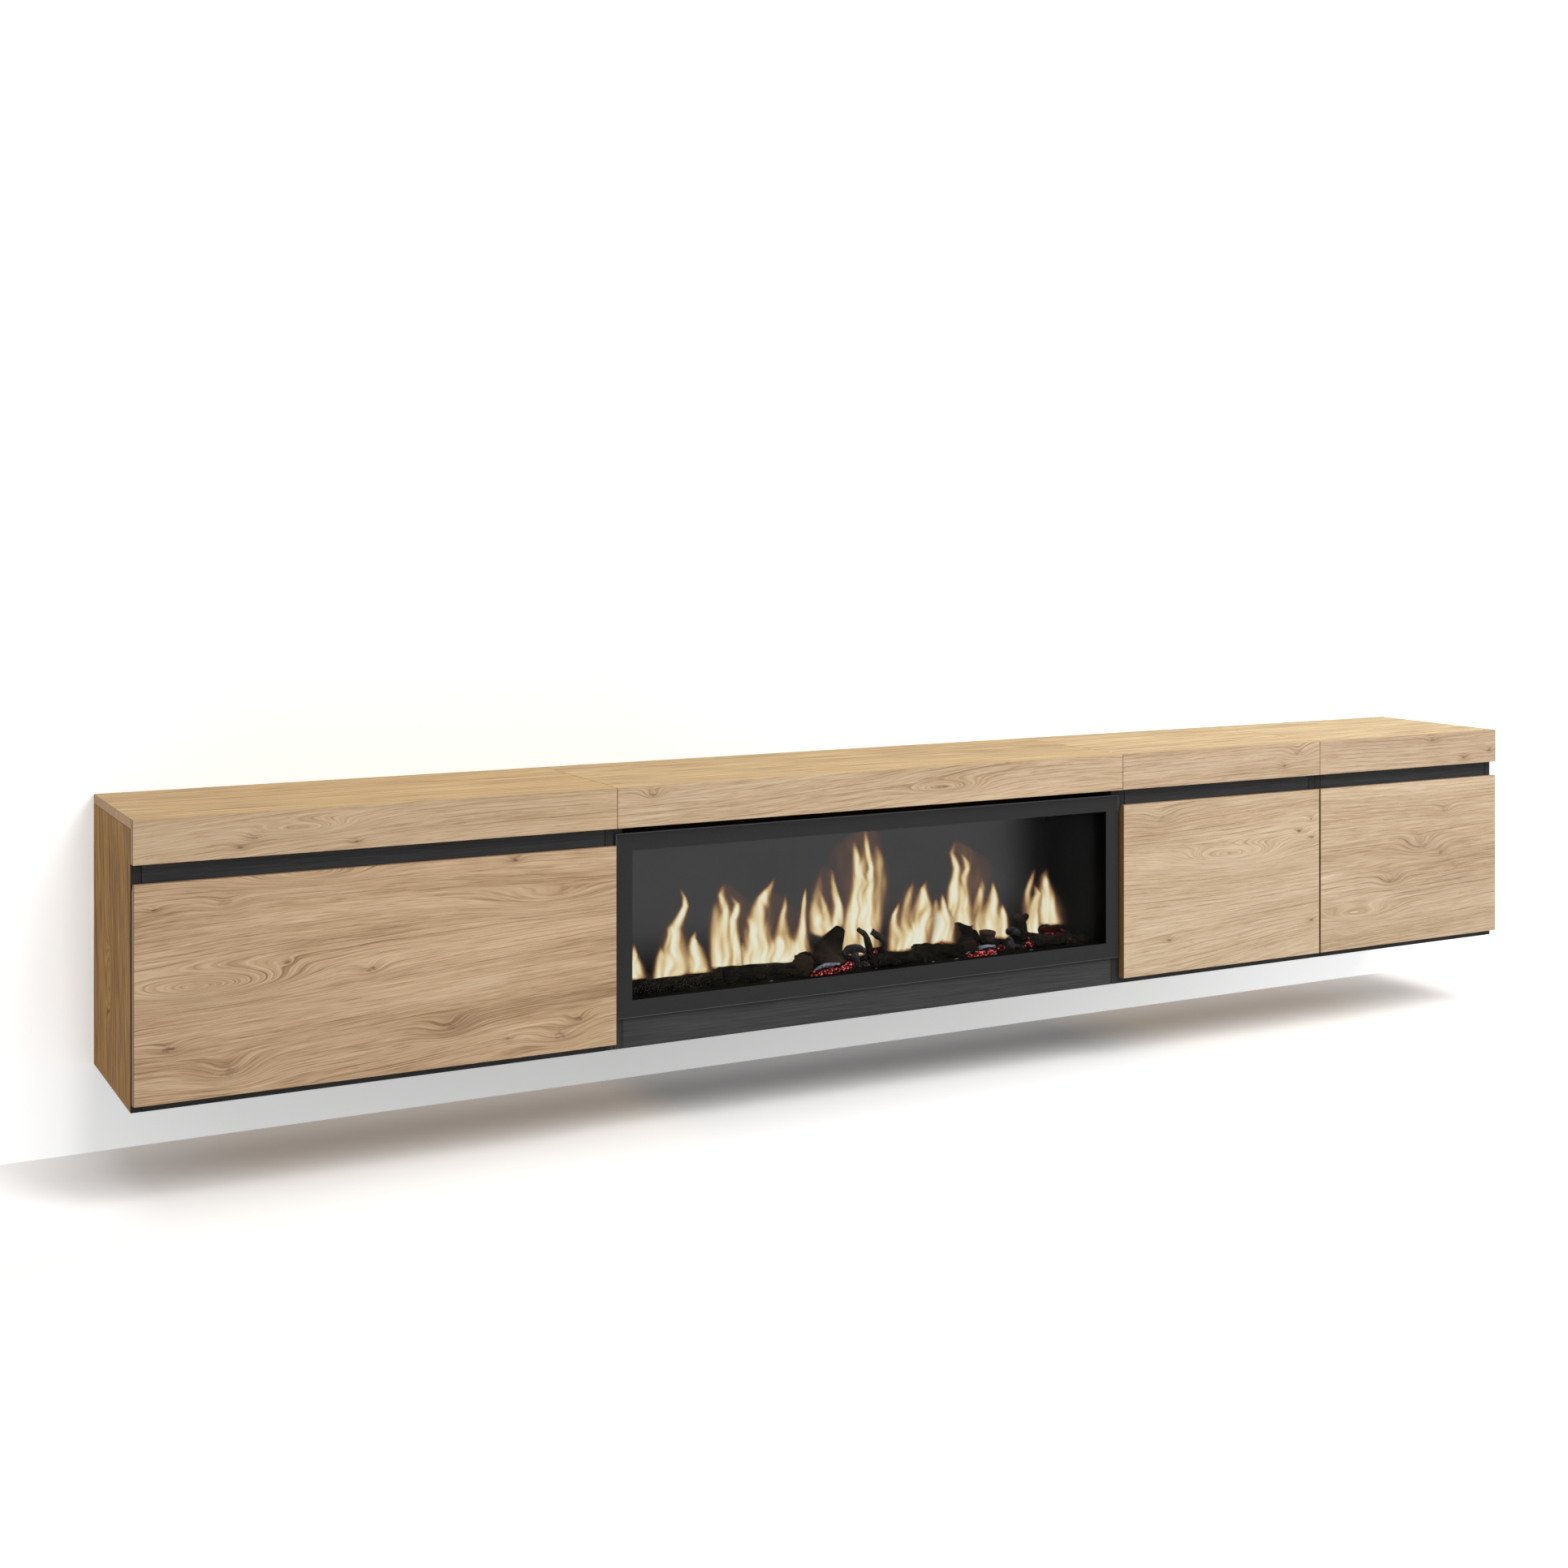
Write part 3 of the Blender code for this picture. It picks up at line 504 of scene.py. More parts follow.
# Painted shade of the gap between the panel's front edge and the flap, on the front of the outer face.
front_gap_shade = end_panel.smooth(y, -0.3238, -0.3244)
end_paint = end_panel.blend(front_gap_shade * outwards, end_paint, (0.110, 0.055, 0.025))
end_panel.feed({"Base Color": end_paint, "Normal": end_panel.bump(end_tone, 0.0004)})
dress("wide_cabinet_left_side", end_panel)
print("left end panel is oak outside")

# %% [markdown]
# ## Metal, glass and the plain parts
#
# The bezel is powder-coated steel: almost flat grey, with a painted highlight, a lighter hairline where its
# folded edge catches the light, and painted shade that turns its opening's inner faces nearly black.
# Zinc-plated fittings show faint brushing. The casing is matt black, and the clear glass is nearly
# transparent.


# %% Bezel
bezel = Finish("bezel_powder_coat", Roughness=0.7, Specular_IOR_Level=0.04)
low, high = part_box("fireplace_bezel")
x, _, z = bezel.split(bezel.place())
speckle = bezel.cloud((900,) * 3)
edge = bezel.maths("MINIMUM", bezel.from_ends(x, low.x, high.x), bezel.from_ends(z, low.z, high.z))
coat = bezel.ramp(speckle, (0.3, (0.036, 0.036, 0.037)), (0.7, (0.045, 0.045, 0.046)))
# Painted highlight: a lighter hairline along the rim.
coat = bezel.blend(bezel.smooth(edge, 0.0016, 0.0008) * 0.8, coat, (0.16, 0.16, 0.165))
faces_front = bezel.maths("ABSOLUTE", bezel.facing(1))
# Painted shade: the faces turned into the opening are made nearly black.
opening_painted_shade = bezel.smooth(edge, 0.020, 0.025) * bezel.smooth(faces_front, 0.7, 0.4)
coat = bezel.blend(opening_painted_shade, coat, grey(0.001))
bezel.feed({"Base Color": coat, "Normal": bezel.bump(speckle, 0.0001)})
dress("fireplace_bezel", bezel)
print("bezel: lighter along its rim, black inside its opening")


# %% Plated steel, foil and cases
def brushed_metal(name, dark, light, roughness, streaks):
    """Metal with brush marks. Streaks say how fine they are along x, y and z."""
    metal = Finish(name, Roughness=roughness, Metallic=1.0)
    brushing = metal.cloud(streaks, 3)
    drift = metal.cloud((25,) * 3, shift=4.0)
    tone = (brushing - 0.5) * 0.7 + (drift - 0.5) * 0.5 + 0.5
    metal.feed({
        "Base Color": metal.ramp(tone, (0.2, dark), (0.8, light)),
        "Roughness": metal.between(drift, roughness - 0.08, roughness + 0.08),
        "Normal": metal.bump(brushing, 0.0002),
    })
    return metal


zinc = brushed_metal("zinc_plate", (0.42, 0.42, 0.43), (0.62, 0.62, 0.64), 0.38, (60, 700, 700))
foil = brushed_metal("bright_foil", grey(0.70), grey(0.90), 0.15, (300, 300, 300))
motor_case = brushed_metal("motor_case", (0.22, 0.22, 0.23), (0.34, 0.34, 0.35), 0.42, (500, 500, 90))
for node_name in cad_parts:
    if "hinge" in node_name or "stay" in node_name or node_name == "wall_rail":
        dress(node_name, zinc)
dress("flame_spindle", foil)
dress("spindle_motor", motor_case)
print("metal parts are dressed")


# %% Back boards, casing, glass and light bar
def plain_finish(name, dark, light, per_metre, **constants):
    """A plain surface whose tone still drifts a little, as any real one does."""
    plain = Finish(name, **constants)
    drift = plain.cloud((per_metre,) * 3, 4, 0.6)
    paint = plain.ramp(drift, (0.25, dark), (0.75, light))
    plain.feed({"Base Color": paint, "Normal": plain.bump(drift, 0.0002)})
    return plain


back_board = plain_finish("back_board", (0.075, 0.075, 0.077), (0.115, 0.115, 0.116), 160,
                          Roughness=0.75, Specular_IOR_Level=0.1)
black_sheet = plain_finish("black_sheet", (0.0035, 0.0033, 0.003), (0.007, 0.0066, 0.006), 240,
                           Roughness=0.7, Specular_IOR_Level=0.05)
light_bar = plain_finish("light_bar", (0.66, 0.62, 0.50), (0.80, 0.76, 0.62), 200, Roughness=0.6)
light_bar.feed({"Emission Color": (1.0, 0.62, 0.25, 1), "Emission Strength": 0.6})
for cabinet in ("wide", "middle", "end"):
    dress(cabinet + "_cabinet_back", back_board)
dress("firebox_casing", black_sheet)
dress("led_bar", light_bar)

glass = Finish("fire_glass", Roughness=0.04, Alpha=0.04)
smear = glass.cloud((9, 1, 14), 3)
glass.feed({"Base Color": glass.ramp(smear, (0.3, (0.010, 0.012, 0.012)), (0.7, (0.020, 0.022, 0.022)))})
dress("fireplace_glass", glass)
print("casing, glass and backs are dressed")

# %% [markdown]
# Screws hold the hinges and the stay brackets. On the real cabinet they are countersunk, with a cross
# recess. A head is a low dome of rings, pressed in where the cross is, which is quicker than cutting a
# cross out of a solid. They are pieces of the picture only, and each set rides on the flap or the carcass
# that its plates belong to.


# %% Screws
def placed(name, mesh, finish, body):
    """Turns a bmesh into a piece with a finish, which rides on a body and has a material slot."""
    data = bpy.data.meshes.new(name)
    mesh.to_mesh(data)
    mesh.free()
    data.materials.append(finish.material)
    piece = bpy.data.objects.new(name, data)
    scene.collection.objects.link(piece)
    data.shade_smooth()
    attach(piece, body)
    return piece


def join_rings(mesh, first, second):
    """Closes the band between two rings with as many vertices."""
    for step in range(len(first)):
        after = (step + 1) % len(first)
        mesh.faces.new((first[step], first[after], second[after], second[step]))


head_radius = 0.0034
head_steps = 32
head_profile = (
    (1.0, -0.05), (0.97, 0.12), (0.80, 0.22), (0.55, 0.28), (0.42, 0.29), (0.28, 0.29), (0.14, 0.29),
)
cross_reach, cross_half_width, cross_depth = 0.5, 0.10, 0.24


def screw_heads(name, body, heads):
    """Screw heads with a cross recess, from rows of (place, way out)."""
    mesh = bmesh.new()
    for place, out in heads:
        turn = Vector(out).to_track_quat("Z", "Y")
        rings = []
        for share, rise in head_profile:
            ring = []
            for step in range(head_steps):
                angle = 2 * math.pi * step / head_steps
                across, up = share * math.cos(angle), share * math.sin(angle)
                in_cross = share < cross_reach and min(abs(across), abs(up)) < cross_half_width
                spot = Vector((across, up, rise - (cross_depth if in_cross else 0.0)))
                ring.append(mesh.verts.new(Vector(place) + turn @ (spot * head_radius)))
            rings.append(ring)
        for outer, inner in zip(rings, rings[1:]):
            join_rings(mesh, outer, inner)
        mesh.faces.new(rings[-1])
    placed(name, mesh, zinc, body)


upwards, inwards = (0, 0, 1), (0, 1, 0)
hinge_inset, bracket_inset = 0.012, 0.008
floor_screws = []
for cabinet in ("wide", "middle", "end"):
    flap_screws = []
    for side in ("left", "right"):
        hinge = f"{cabinet}_cabinet_{side}_hinge_"
        low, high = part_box(hinge + "fixed_leaf")
        flap_leaf_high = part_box(hinge + "flap_leaf")[1]
        for x in (low.x + hinge_inset, high.x - hinge_inset):
            floor_screws.append(((x, low.y + 0.024, high.z), upwards))
            flap_screws.append(((x, flap_leaf_high.y - 0.00125, flap_leaf_high.z - 0.013), inwards))
    low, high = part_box(cabinet + "_cabinet_stay_bracket")
    for z in (low.z + bracket_inset, high.z - bracket_inset):
        flap_screws.append(((low.x + bracket_inset, low.y + 0.002, z), inwards))
    screw_heads(cabinet + "_flap_screws", cabinet + "_flap", flap_screws)
screw_heads("floor_screws", "carcass", floor_screws)
print("screws on the cupboard floors:", len(floor_screws), "and on each flap:", len(flap_screws))

# %% [markdown]
# The screen behind the logs glows a dim grey: painted light and a painted reflection. The glow dies away to
# the right, where the casing's end wall stands, and down towards the logs, as painted shade. A gradient in
# the screen's own frame does that, so it stays with the screen from any side.

# %% Flame screen
screen = Finish("flame_screen_acrylic", Roughness=0.5, Specular_IOR_Level=0.05)
x, _, z = screen.split(screen.place())
haze = screen.cloud((5, 1, 9), 3)
# Painted light and reflection, fading to painted shade at the right and towards the logs.
level = screen.smooth(x, 0.402, 0.270) * screen.smooth(z, -0.318, -0.215)
level = level * screen.between(haze, 0.78, 1.20)
screen.feed({
    "Base Color": screen.ramp(haze, (0.3, grey(0.008)), (0.7, grey(0.011))),
    "Emission Color": screen.ramp(level, (0.0, grey(0.001)), (1.0, (0.050, 0.050, 0.051))),
    "Emission Strength": 1.0,
})
dress("flame_screen", screen)
print("screen glows from left to right")

# %% [markdown]
# ## The bed of logs
#
# In the real fire, one moulded piece carries logs, twigs, coals and ash. The CAD keeps it as plain rods on
# a tray. Here each log is swept along a slightly bent line, with bark ridges from noise, and closed by cut
# ends with growth rings. Sculpting by hand would look as good, but a sweep can be changed by changing a few
# numbers.


# %% A swept limb
def rounded_path(marks, steps):
    """A rounded path through rows of x, y, z and radius."""
    rows = np.array(marks, float)
    rows = np.vstack((2 * rows[0] - rows[1], rows, 2 * rows[-1] - rows[-2]))
    path = []
    for before, start, end, after in zip(rows, rows[1:], rows[2:], rows[3:]):
        for share in np.arange(steps) / steps:
            path.append(0.5 * (
                2 * start + (end - before) * share
                + (2 * before - 5 * start + 4 * end - after) * share ** 2
                + (3 * start - before - 3 * end + after) * share ** 3
            ))
    path.append(rows[-2])
    return np.array(path)


def burning_mesh():
    """An empty mesh, and the numbers its vertices keep: how far they are cut, and how hot they are."""
    mesh = bmesh.new()
    numbers = mesh.verts.layers.float
    return mesh, numbers.new("cut"), numbers.new("ember")


end_shares = (0.90, 0.66, 0.40, 0.16)
ridge_waves, ridge_drift = 2.6, 0.22
lump_waves, lump_drift, lump_share = 0.9, 0.35, 0.8


def limb(name, marks, seed, finish, bark=0.22, around=22, steps=7, heat=0.0, bare=0.0, sawn=1.0):
    """A log, twig or coal swept along marks of (x, y, z, radius), with bark ridges and cut ends.

    Bare, below 0.35, says how far its first end is without char, and fades towards the last end. Ends that
    are burnt black instead of sawn take sawn=0.
    """
    path = rounded_path(marks, steps)
    mesh, cut, ember = burning_mesh()
    shift = Vector((seed * 3.7, seed * 1.3, seed * 0.7))
    rings = []
    for count, row in enumerate(path):
        ahead = Vector(path[min(count + 1, len(path) - 1)][:3]) - Vector(path[max(count - 1, 0)][:3])
        turn = ahead.to_track_quat("Z", "Y")
        ring = []
        for step in range(around):
            angle = 2 * math.pi * step / around
            way = Vector((math.cos(angle), math.sin(angle), 0))
            ridge = noise.noise(way * ridge_waves + Vector((0, 0, count * ridge_drift)) + shift)
            lump = noise.noise(way * lump_waves + Vector((0, 0, count * lump_drift)) - shift)
            grown = row[3] * (1 + bark * ridge + bark * lump * lump_share)
            vert = mesh.verts.new(Vector(row[:3]) + turn @ way * grown)
            vert[ember] = heat
            vert[cut] = bare * (1 - count / (len(path) - 1))
            ring.append(vert)
        rings.append(ring)
    for first, second in zip(rings, rings[1:]):
        join_rings(mesh, first, second)
    for ring, last in ((rings[0], False), (rings[-1], True)):
        middle = sum((vert.co for vert in ring), Vector()) / around
        outer = ring
        for share in end_shares:
            inner = []
            for vert in ring:
                made = mesh.verts.new(middle + (vert.co - middle) * share)
                made[cut] = sawn * (1.0 + share)
                made[ember] = heat
                inner.append(made)
            join_rings(mesh, *((outer, inner) if last else (inner, outer)))
            outer = inner
        mesh.faces.new(outer if last else outer[::-1])
    placed(name, mesh, finish, "carcass")


print("limbs can be swept")

# %% [markdown]
# Charred wood is nearly black, with dull olive-brown flecks, and its sawn ends show brown rings. Where the
# mesh says it is hot, veins of noise glow red. Charcoal breaks into small blocks: a cell pattern gives the
# pale lines between them. Ash is a soft blue-grey.

# %% Charred wood, charcoal and ash
charred = Finish("charred_wood", Roughness=0.9, Specular_IOR_Level=0.03, Emission_Strength=1.0)
bark = charred.cloud((150, 260, 260), 4, 0.65)
clusters = charred.smooth(charred.cloud((34,) * 3, shift=7), 0.44, 0.60)
flecks = charred.smooth(charred.cloud((430,) * 3), 0.56, 0.70)
wood = charred.ramp(
    bark, (0.30, (0.0010, 0.0008, 0.0005)), (0.52, (0.0042, 0.0034, 0.0021)), (0.75, (0.017, 0.0135, 0.0078)),
)
wood = charred.blend(flecks * clusters, wood, (0.070, 0.058, 0.030))
sawn = charred.attribute("cut")
rings = charred.maths("FRACT", sawn * 5.5 + bark * 0.9)
ring_paint = charred.ramp(rings, (0.1, (0.012, 0.007, 0.005)), (0.8, (0.075, 0.044, 0.030)))
fibre = charred.cloud((420, 420, 90), 3, 0.6)
bare_wood = charred.ramp(fibre, (0.3, (0.014, 0.009, 0.007)), (0.7, (0.085, 0.060, 0.046)))
wood = charred.blend(charred.smooth(sawn, 0.06, 0.26), wood, bare_wood)
wood = charred.blend(charred.smooth(sawn, 0.35, 0.95) * 0.9, wood, ring_paint)
veins = charred.smooth(charred.cloud((230,) * 3, 3, 0.6, shift=3), 0.45, 0.66)
red_heat = veins * charred.attribute("ember")
charred.feed({
    "Base Color": wood,
    "Normal": charred.bump(bark, 0.004),
    "Emission Color": charred.ramp(
        red_heat, (0.0, (0, 0, 0)), (0.3, (0.050, 0.003, 0.004)), (0.6, (0.360, 0.012, 0.022)),
        (0.85, (0.740, 0.070, 0.100)), (1.0, (0.860, 0.280, 0.260)),
    ),
})

charcoal = Finish("crackled_charcoal", Roughness=0.75, Specular_IOR_Level=0.06)
x, y, z = charcoal.split(charcoal.place())
wobble = charcoal.cloud((90,) * 3, 3) * 0.9
blocks = charcoal.node(
    "ShaderNodeTexVoronoi", {"feature": "DISTANCE_TO_EDGE"},
    {"Vector": charcoal.vector(x * 210 + wobble, y * 210, z * 300 + wobble), "Scale": 1.0}, "Distance",
)
dust = charcoal.cloud((60,) * 3, 3)
pale = charcoal.smooth(blocks, 0.11, 0.02) * charcoal.smooth(dust, 0.34, 0.56)
coal_black = charcoal.ramp(dust, (0.3, grey(0.004)), (0.7, (0.016, 0.014, 0.014)))
charcoal.feed({
    "Base Color": charcoal.blend(pale, coal_black, (0.090, 0.080, 0.083)),
    "Normal": charcoal.bump(blocks, 0.003),
})

ash = Finish("pale_ash", Roughness=0.95, Specular_IOR_Level=0.1)
flour = ash.cloud((260,) * 3, 4, 0.6)
ash.feed({
    "Base Color": ash.ramp(
        flour, (0.32, (0.05, 0.055, 0.075)), (0.5, (0.18, 0.195, 0.25)), (0.68, (0.38, 0.40, 0.47)),
    ),
    "Normal": ash.bump(flour, 0.002),
})
print("charred wood, charcoal and ash are ready")

# %% [markdown]
# The bed under the logs is a grid of small cells. Noise raises cinders on it, lower towards its rim, and
# sides and a foot close it. It shows instead of the CAD's rods and tray.

# %% Bed of embers
bed_low, bed_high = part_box("log_bed")
bed_top = -0.3038
bed_cell = 0.006
cinders_per_metre, cinder_height = 95, 0.005
rim_cells = 3
columns = int((bed_high.x - bed_low.x) / bed_cell)
rows = int((bed_high.y - bed_low.y) / bed_cell)
mesh, _, _ = burning_mesh()
grid = []
for row in range(rows + 1):
    y = bed_low.y + (bed_high.y - bed_low.y) * row / rows
    line = []
    for column in range(columns + 1):
        x = bed_low.x + (bed_high.x - bed_low.x) * column / columns
        rim = min(row, rows - row, column, columns - column) / rim_cells
        swell = noise.noise(Vector((x * cinders_per_metre, y * cinders_per_metre, 2.0)))
        cinders = max(0, 0.45 + swell) * cinder_height
        line.append(mesh.verts.new((x, y, bed_top + cinders * min(rim, 1))))
    grid.append(line)
for first, second in zip(grid, grid[1:]):
    for column in range(columns):
        mesh.faces.new((first[column], first[column + 1], second[column + 1], second[column]))
edge_loop = grid[0] + [line[-1] for line in grid[1:]] + grid[-1][-2::-1] + [line[0] for line in grid[-2:0:-1]]
foot_loop = [mesh.verts.new((vert.co.x, vert.co.y, bed_low.z)) for vert in edge_loop]
join_rings(mesh, foot_loop, edge_loop)
mesh.faces.new(foot_loop[::-1])
bed = placed("ember_bed", mesh, charred, "carcass")
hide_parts("log_bed")
print("ember bed:", len(bed.data.polygons), "faces")

# %% [markdown]
# Twelve logs lie as the CAD has them. Each row says where the log's middle is, as shares of the bed, how
# far it is over the bed, how long and thick it is, and how it is turned and tilted in degrees. Two stumps
# stand between them, not wholly charred, so brown wood shows on them.

# %% Logs
bed_size = Vector((bed_high.x - bed_low.x, bed_high.y - bed_low.y))
short, long_log = 0.073, 0.175
thin, medium, thick = 0.011, 0.016, 0.021
lying, raised = 0.009, 0.016
log_line = ((-0.5, 0.0015, 0), (-0.2, -0.002, 0.001), (0.15, 0.002, -0.001), (0.5, -0.001, 0.001))
end_taper = 0.82
logs = (
    (0.096, 0.15, lying, long_log, medium, 2, 0), (0.286, 0.19, 0.011, long_log, medium, 5, 2),
    (0.381, 0.29, raised, short, thick, 62, 4), (0.408, 0.46, 0.020, short, thick, -24, -14),
    (0.560, 0.45, 0.010, short, thin, 10, 0), (0.562, 0.075, 0.0105, 0.118, 0.0145, 4, 1),
    (0.655, 0.20, 0.010, 0.100, medium, -6, 3), (0.765, 0.56, 0.019, short, 0.023, 12, 6),
    (0.722, 0.22, 0.0155, 0.036, 0.019, 70, -8), (0.880, 0.40, 0.010, short, thin, -52, 6),
    (0.895, 0.09, 0.0105, 0.080, 0.0125, -6, 0), (0.935, 0.42, 0.017, 0.045, thin, -20, 0),
)
for count, (share_x, share_y, rise, length_share, radius, turn, tilt) in enumerate(logs, 1):
    middle = Vector((bed_low.x + share_x * bed_size.x, bed_low.y + share_y * bed_size.y, bed_top + rise))
    heading = Matrix.Rotation(math.radians(turn), 3, "Z") @ Matrix.Rotation(math.radians(tilt), 3, "Y")
    marks = []
    for share, *bend in log_line:
        spot = middle + heading @ Vector((share * length_share * bed_size.x, 0, 0)) + Vector((0, *bend))
        marks.append((*spot, radius * (1 + (end_taper - 1) * (share + 0.5)) * 0.96))
    limb(f"fire_log_{count}", marks, count * 1.9, charred, heat=0.25 if count == len(logs) else 0.0)
stump_marks = (
    (-0.176, -0.240, bed_top, 0.030), (-0.175, -0.240, bed_top + 0.020, 0.031),
    (-0.163, -0.238, bed_top + 0.044, 0.021), (-0.145, -0.235, bed_top + 0.068, 0.010),
)
limb("stump", stump_marks, 21.0, charred, bark=0.12, bare=0.28, sawn=0)
cup_marks = (
    (0.178, -0.246, bed_top + 0.033, 0.0160), (0.178, -0.245, bed_top + 0.022, 0.0140),
    (0.178, -0.243, bed_top + 0.011, 0.0115), (0.178, -0.242, bed_top, 0.0110),
)
limb("cup_stump", cup_marks, 22.0, charred, bark=0.10, bare=0.34)
print("logs:", len(logs), "and two stumps")

# %% [markdown]
# Between the logs lie twigs, cracked charcoal and crescents of ash. They are placed by spots of the
# photograph, at a depth where each one rests on the bed, on a coal or on a log. Each row gives a name, a
# finish and a seed, how hot and how bare the piece is, and its spots as (across, down, depth, radius).

# %% Twigs, charcoal and ash
for name, finish, seed, heat, bare, spots in (
    ("forked_twig", charred, 31.0, 0.0, 0.30,
     ((1057, 1145, -0.232, 0.0040), (1066, 1152, -0.234, 0.0050), (1070, 1165, -0.238, 0.0070),
      (1076, 1192, -0.250, 0.0050))),
    ("forked_twig_side", charred, 32.0, 0.9, 0.0,
     ((1077, 1172, -0.240, 0.0040), (1081, 1179, -0.243, 0.0065), (1082, 1189, -0.252, 0.0050))),
    ("charcoal_twig", charcoal, 33.0, 0.0, 0.0,
     ((1074, 1148, -0.222, 0.0058), (1084, 1155, -0.222, 0.0064), (1096, 1163, -0.222, 0.0050))),
    ("charcoal_cap", charcoal, 34.0, 0.0, 0.0,
     ((1038, 1177, -0.262, 0.0045), (1045, 1171, -0.262, 0.0075), (1057, 1169, -0.262, 0.0075),
      (1066, 1172, -0.262, 0.0045))),
    ("charcoal_stem", charcoal, 35.0, 0.0, 0.0,
     ((1053, 1173, -0.264, 0.0070), (1055, 1185, -0.268, 0.0075), (1057, 1198, -0.274, 0.0085))),
    ("charcoal_side_coal", charcoal, 36.0, 0.0, 0.0,
     ((1063, 1187, -0.276, 0.0055), (1070, 1191, -0.278, 0.0070), (1076, 1195, -0.282, 0.0045))),
    ("ash_crescent_left", ash, 37.0, 0.0, 0.0,
     ((1000, 1199, -0.276, 0.0014), (1009, 1193, -0.277, 0.0032), (1021, 1189, -0.277, 0.0042),
      (1034, 1189, -0.276, 0.0036))),
    ("ash_crescent_right", ash, 38.0, 0.0, 0.0,
     ((1190, 1176, -0.272, 0.0014), (1200, 1170, -0.272, 0.0032), (1213, 1167, -0.272, 0.0040),
      (1226, 1166, -0.270, 0.0030))),
    ("cracked_coal_right", charcoal, 39.0, 0.0, 0.0,
     ((1243, 1155, -0.262, 0.0060), (1245, 1165, -0.266, 0.0085), (1249, 1174, -0.272, 0.0060))),
    ("charcoal_head_right", charcoal, 40.0, 0.0, 0.0,
     ((1241, 1148, -0.255, 0.0060), (1248, 1147, -0.255, 0.0072), (1255, 1150, -0.255, 0.0050))),
    ("ash_coal_right", charcoal, 41.0, 0.0, 0.0,
     ((1252, 1166, -0.272, 0.0045), (1259, 1169, -0.275, 0.0065), (1267, 1173, -0.281, 0.0035))),
    ("dark_branch_right", charred, 42.0, 0.0, 0.20,
     ((1248, 1127, -0.225, 0.0055), (1256, 1134, -0.230, 0.0095), (1260, 1146, -0.240, 0.0100),
      (1262, 1162, -0.252, 0.0085))),
    ("branch_knob_right", charred, 43.0, 0.0, 0.20,
     ((1256, 1137, -0.232, 0.0070), (1262, 1131, -0.232, 0.0066), (1266, 1127, -0.232, 0.0040))),
    ("hot_log_rim", charred, 44.0, 0.85, 0.0,
     ((1283, 1144, -0.222, 0.0012), (1292, 1142, -0.222, 0.0020), (1303, 1143, -0.222, 0.0022),
      (1312, 1147, -0.222, 0.0014))),
    ("hot_log_lip", charred, 45.0, 0.8, 0.0,
     ((1288, 1150, -0.235, 0.0014), (1298, 1151, -0.235, 0.0022), (1308, 1150, -0.235, 0.0016))),
    ("stub_middle", charred, 47.0, 0.0, 0.0,
     ((1137, 1183, -0.292, 0.0088), (1143, 1180, -0.280, 0.0096), (1152, 1175, -0.262, 0.0090))),
    ("stub_right", charred, 48.0, 0.0, 0.0,
     ((1322, 1162, -0.290, 0.0086), (1328, 1159, -0.278, 0.0094), (1337, 1154, -0.260, 0.0088))),
    ("hot_twig_right", charred, 46.0, 1.0, 0.0,
     ((1263, 1153, -0.246, 0.0035), (1267, 1160, -0.250, 0.0060), (1270, 1166, -0.256, 0.0045))),
):
    marks = [(*seen_at(*spot), radius) for *spot, radius in spots]
    limb(name, marks, seed, finish, around=16, steps=5, heat=heat, bare=bare)
print("twigs, charcoal and ash are placed")

# %% [markdown]
# Loose coals fill the gaps. Glowing ones lie at the hot spots of the photograph. Dark ones are spread by a
# fixed rule instead of by chance, so each run gives the same bed, and none lies close to a glowing one.
# Flakes of ash come last, at spots of their own.


# %% Coals
bulges = ((0.34, 1.6), (0.16, 4.5))


def coal_piece(name, finish, shape, heat, lumps):
    """Coals from rows of (place, size, seed): balls with their surfaces pushed about by noise."""
    mesh, _, ember = burning_mesh()
    for centre, size, seed in lumps:
        shift = Vector((seed * 1.7, seed * 0.9, seed * 2.3))
        for vert in bmesh.ops.create_icosphere(mesh, subdivisions=3, radius=1.0)["verts"]:
            way = vert.co.normalized()
            bulge = 1 + sum(height * noise.noise(way * waves + shift) for height, waves in bulges)
            vert.co = centre + Vector((way.x * shape[0], way.y * shape[1], way.z * shape[2])) * size * bulge
            vert[ember] = heat
    placed(name, mesh, finish, "carcass")


def on_bed(across, down, height):
    """Where the line of sight through a spot of the photograph comes down to a height over the bed."""
    near, far = seen_at(across, down, -0.30), seen_at(across, down, -0.12)
    share = (near.z - (bed_top + height)) / (near.z - far.z)
    return near.lerp(far, min(max(share, 0.0), 1.0))


golden, silver, plastic = 0.618034, 0.414214, 0.7548
margin_x, margin_y, strewn_depth = 0.015, 0.012, 0.42
clear_of_hot = 0.016
dark_lumps, glowing_lumps, ash_lumps = [], [], []
hot_spots = (
    (1003, 1202), (1008, 1200), (1013, 1200), (1019, 1199), (1025, 1197), (1031, 1196), (1016, 1203),
    (1041, 1193), (1047, 1190), (964, 1187), (971, 1186), (977, 1187), (1081, 1184), (1196, 1179),
    (1204, 1176), (1211, 1175), (1218, 1174), (1223, 1172), (1234, 1168), (1264, 1160), (1268, 1164),
    (1163, 1163), (1169, 1162), (1098, 1163),
)
for count, (across, down) in enumerate(hot_spots):
    glowing_lumps.append((on_bed(across, down, 0.006), 0.0058 + 0.0022 * (count * golden % 1), 200 + count))
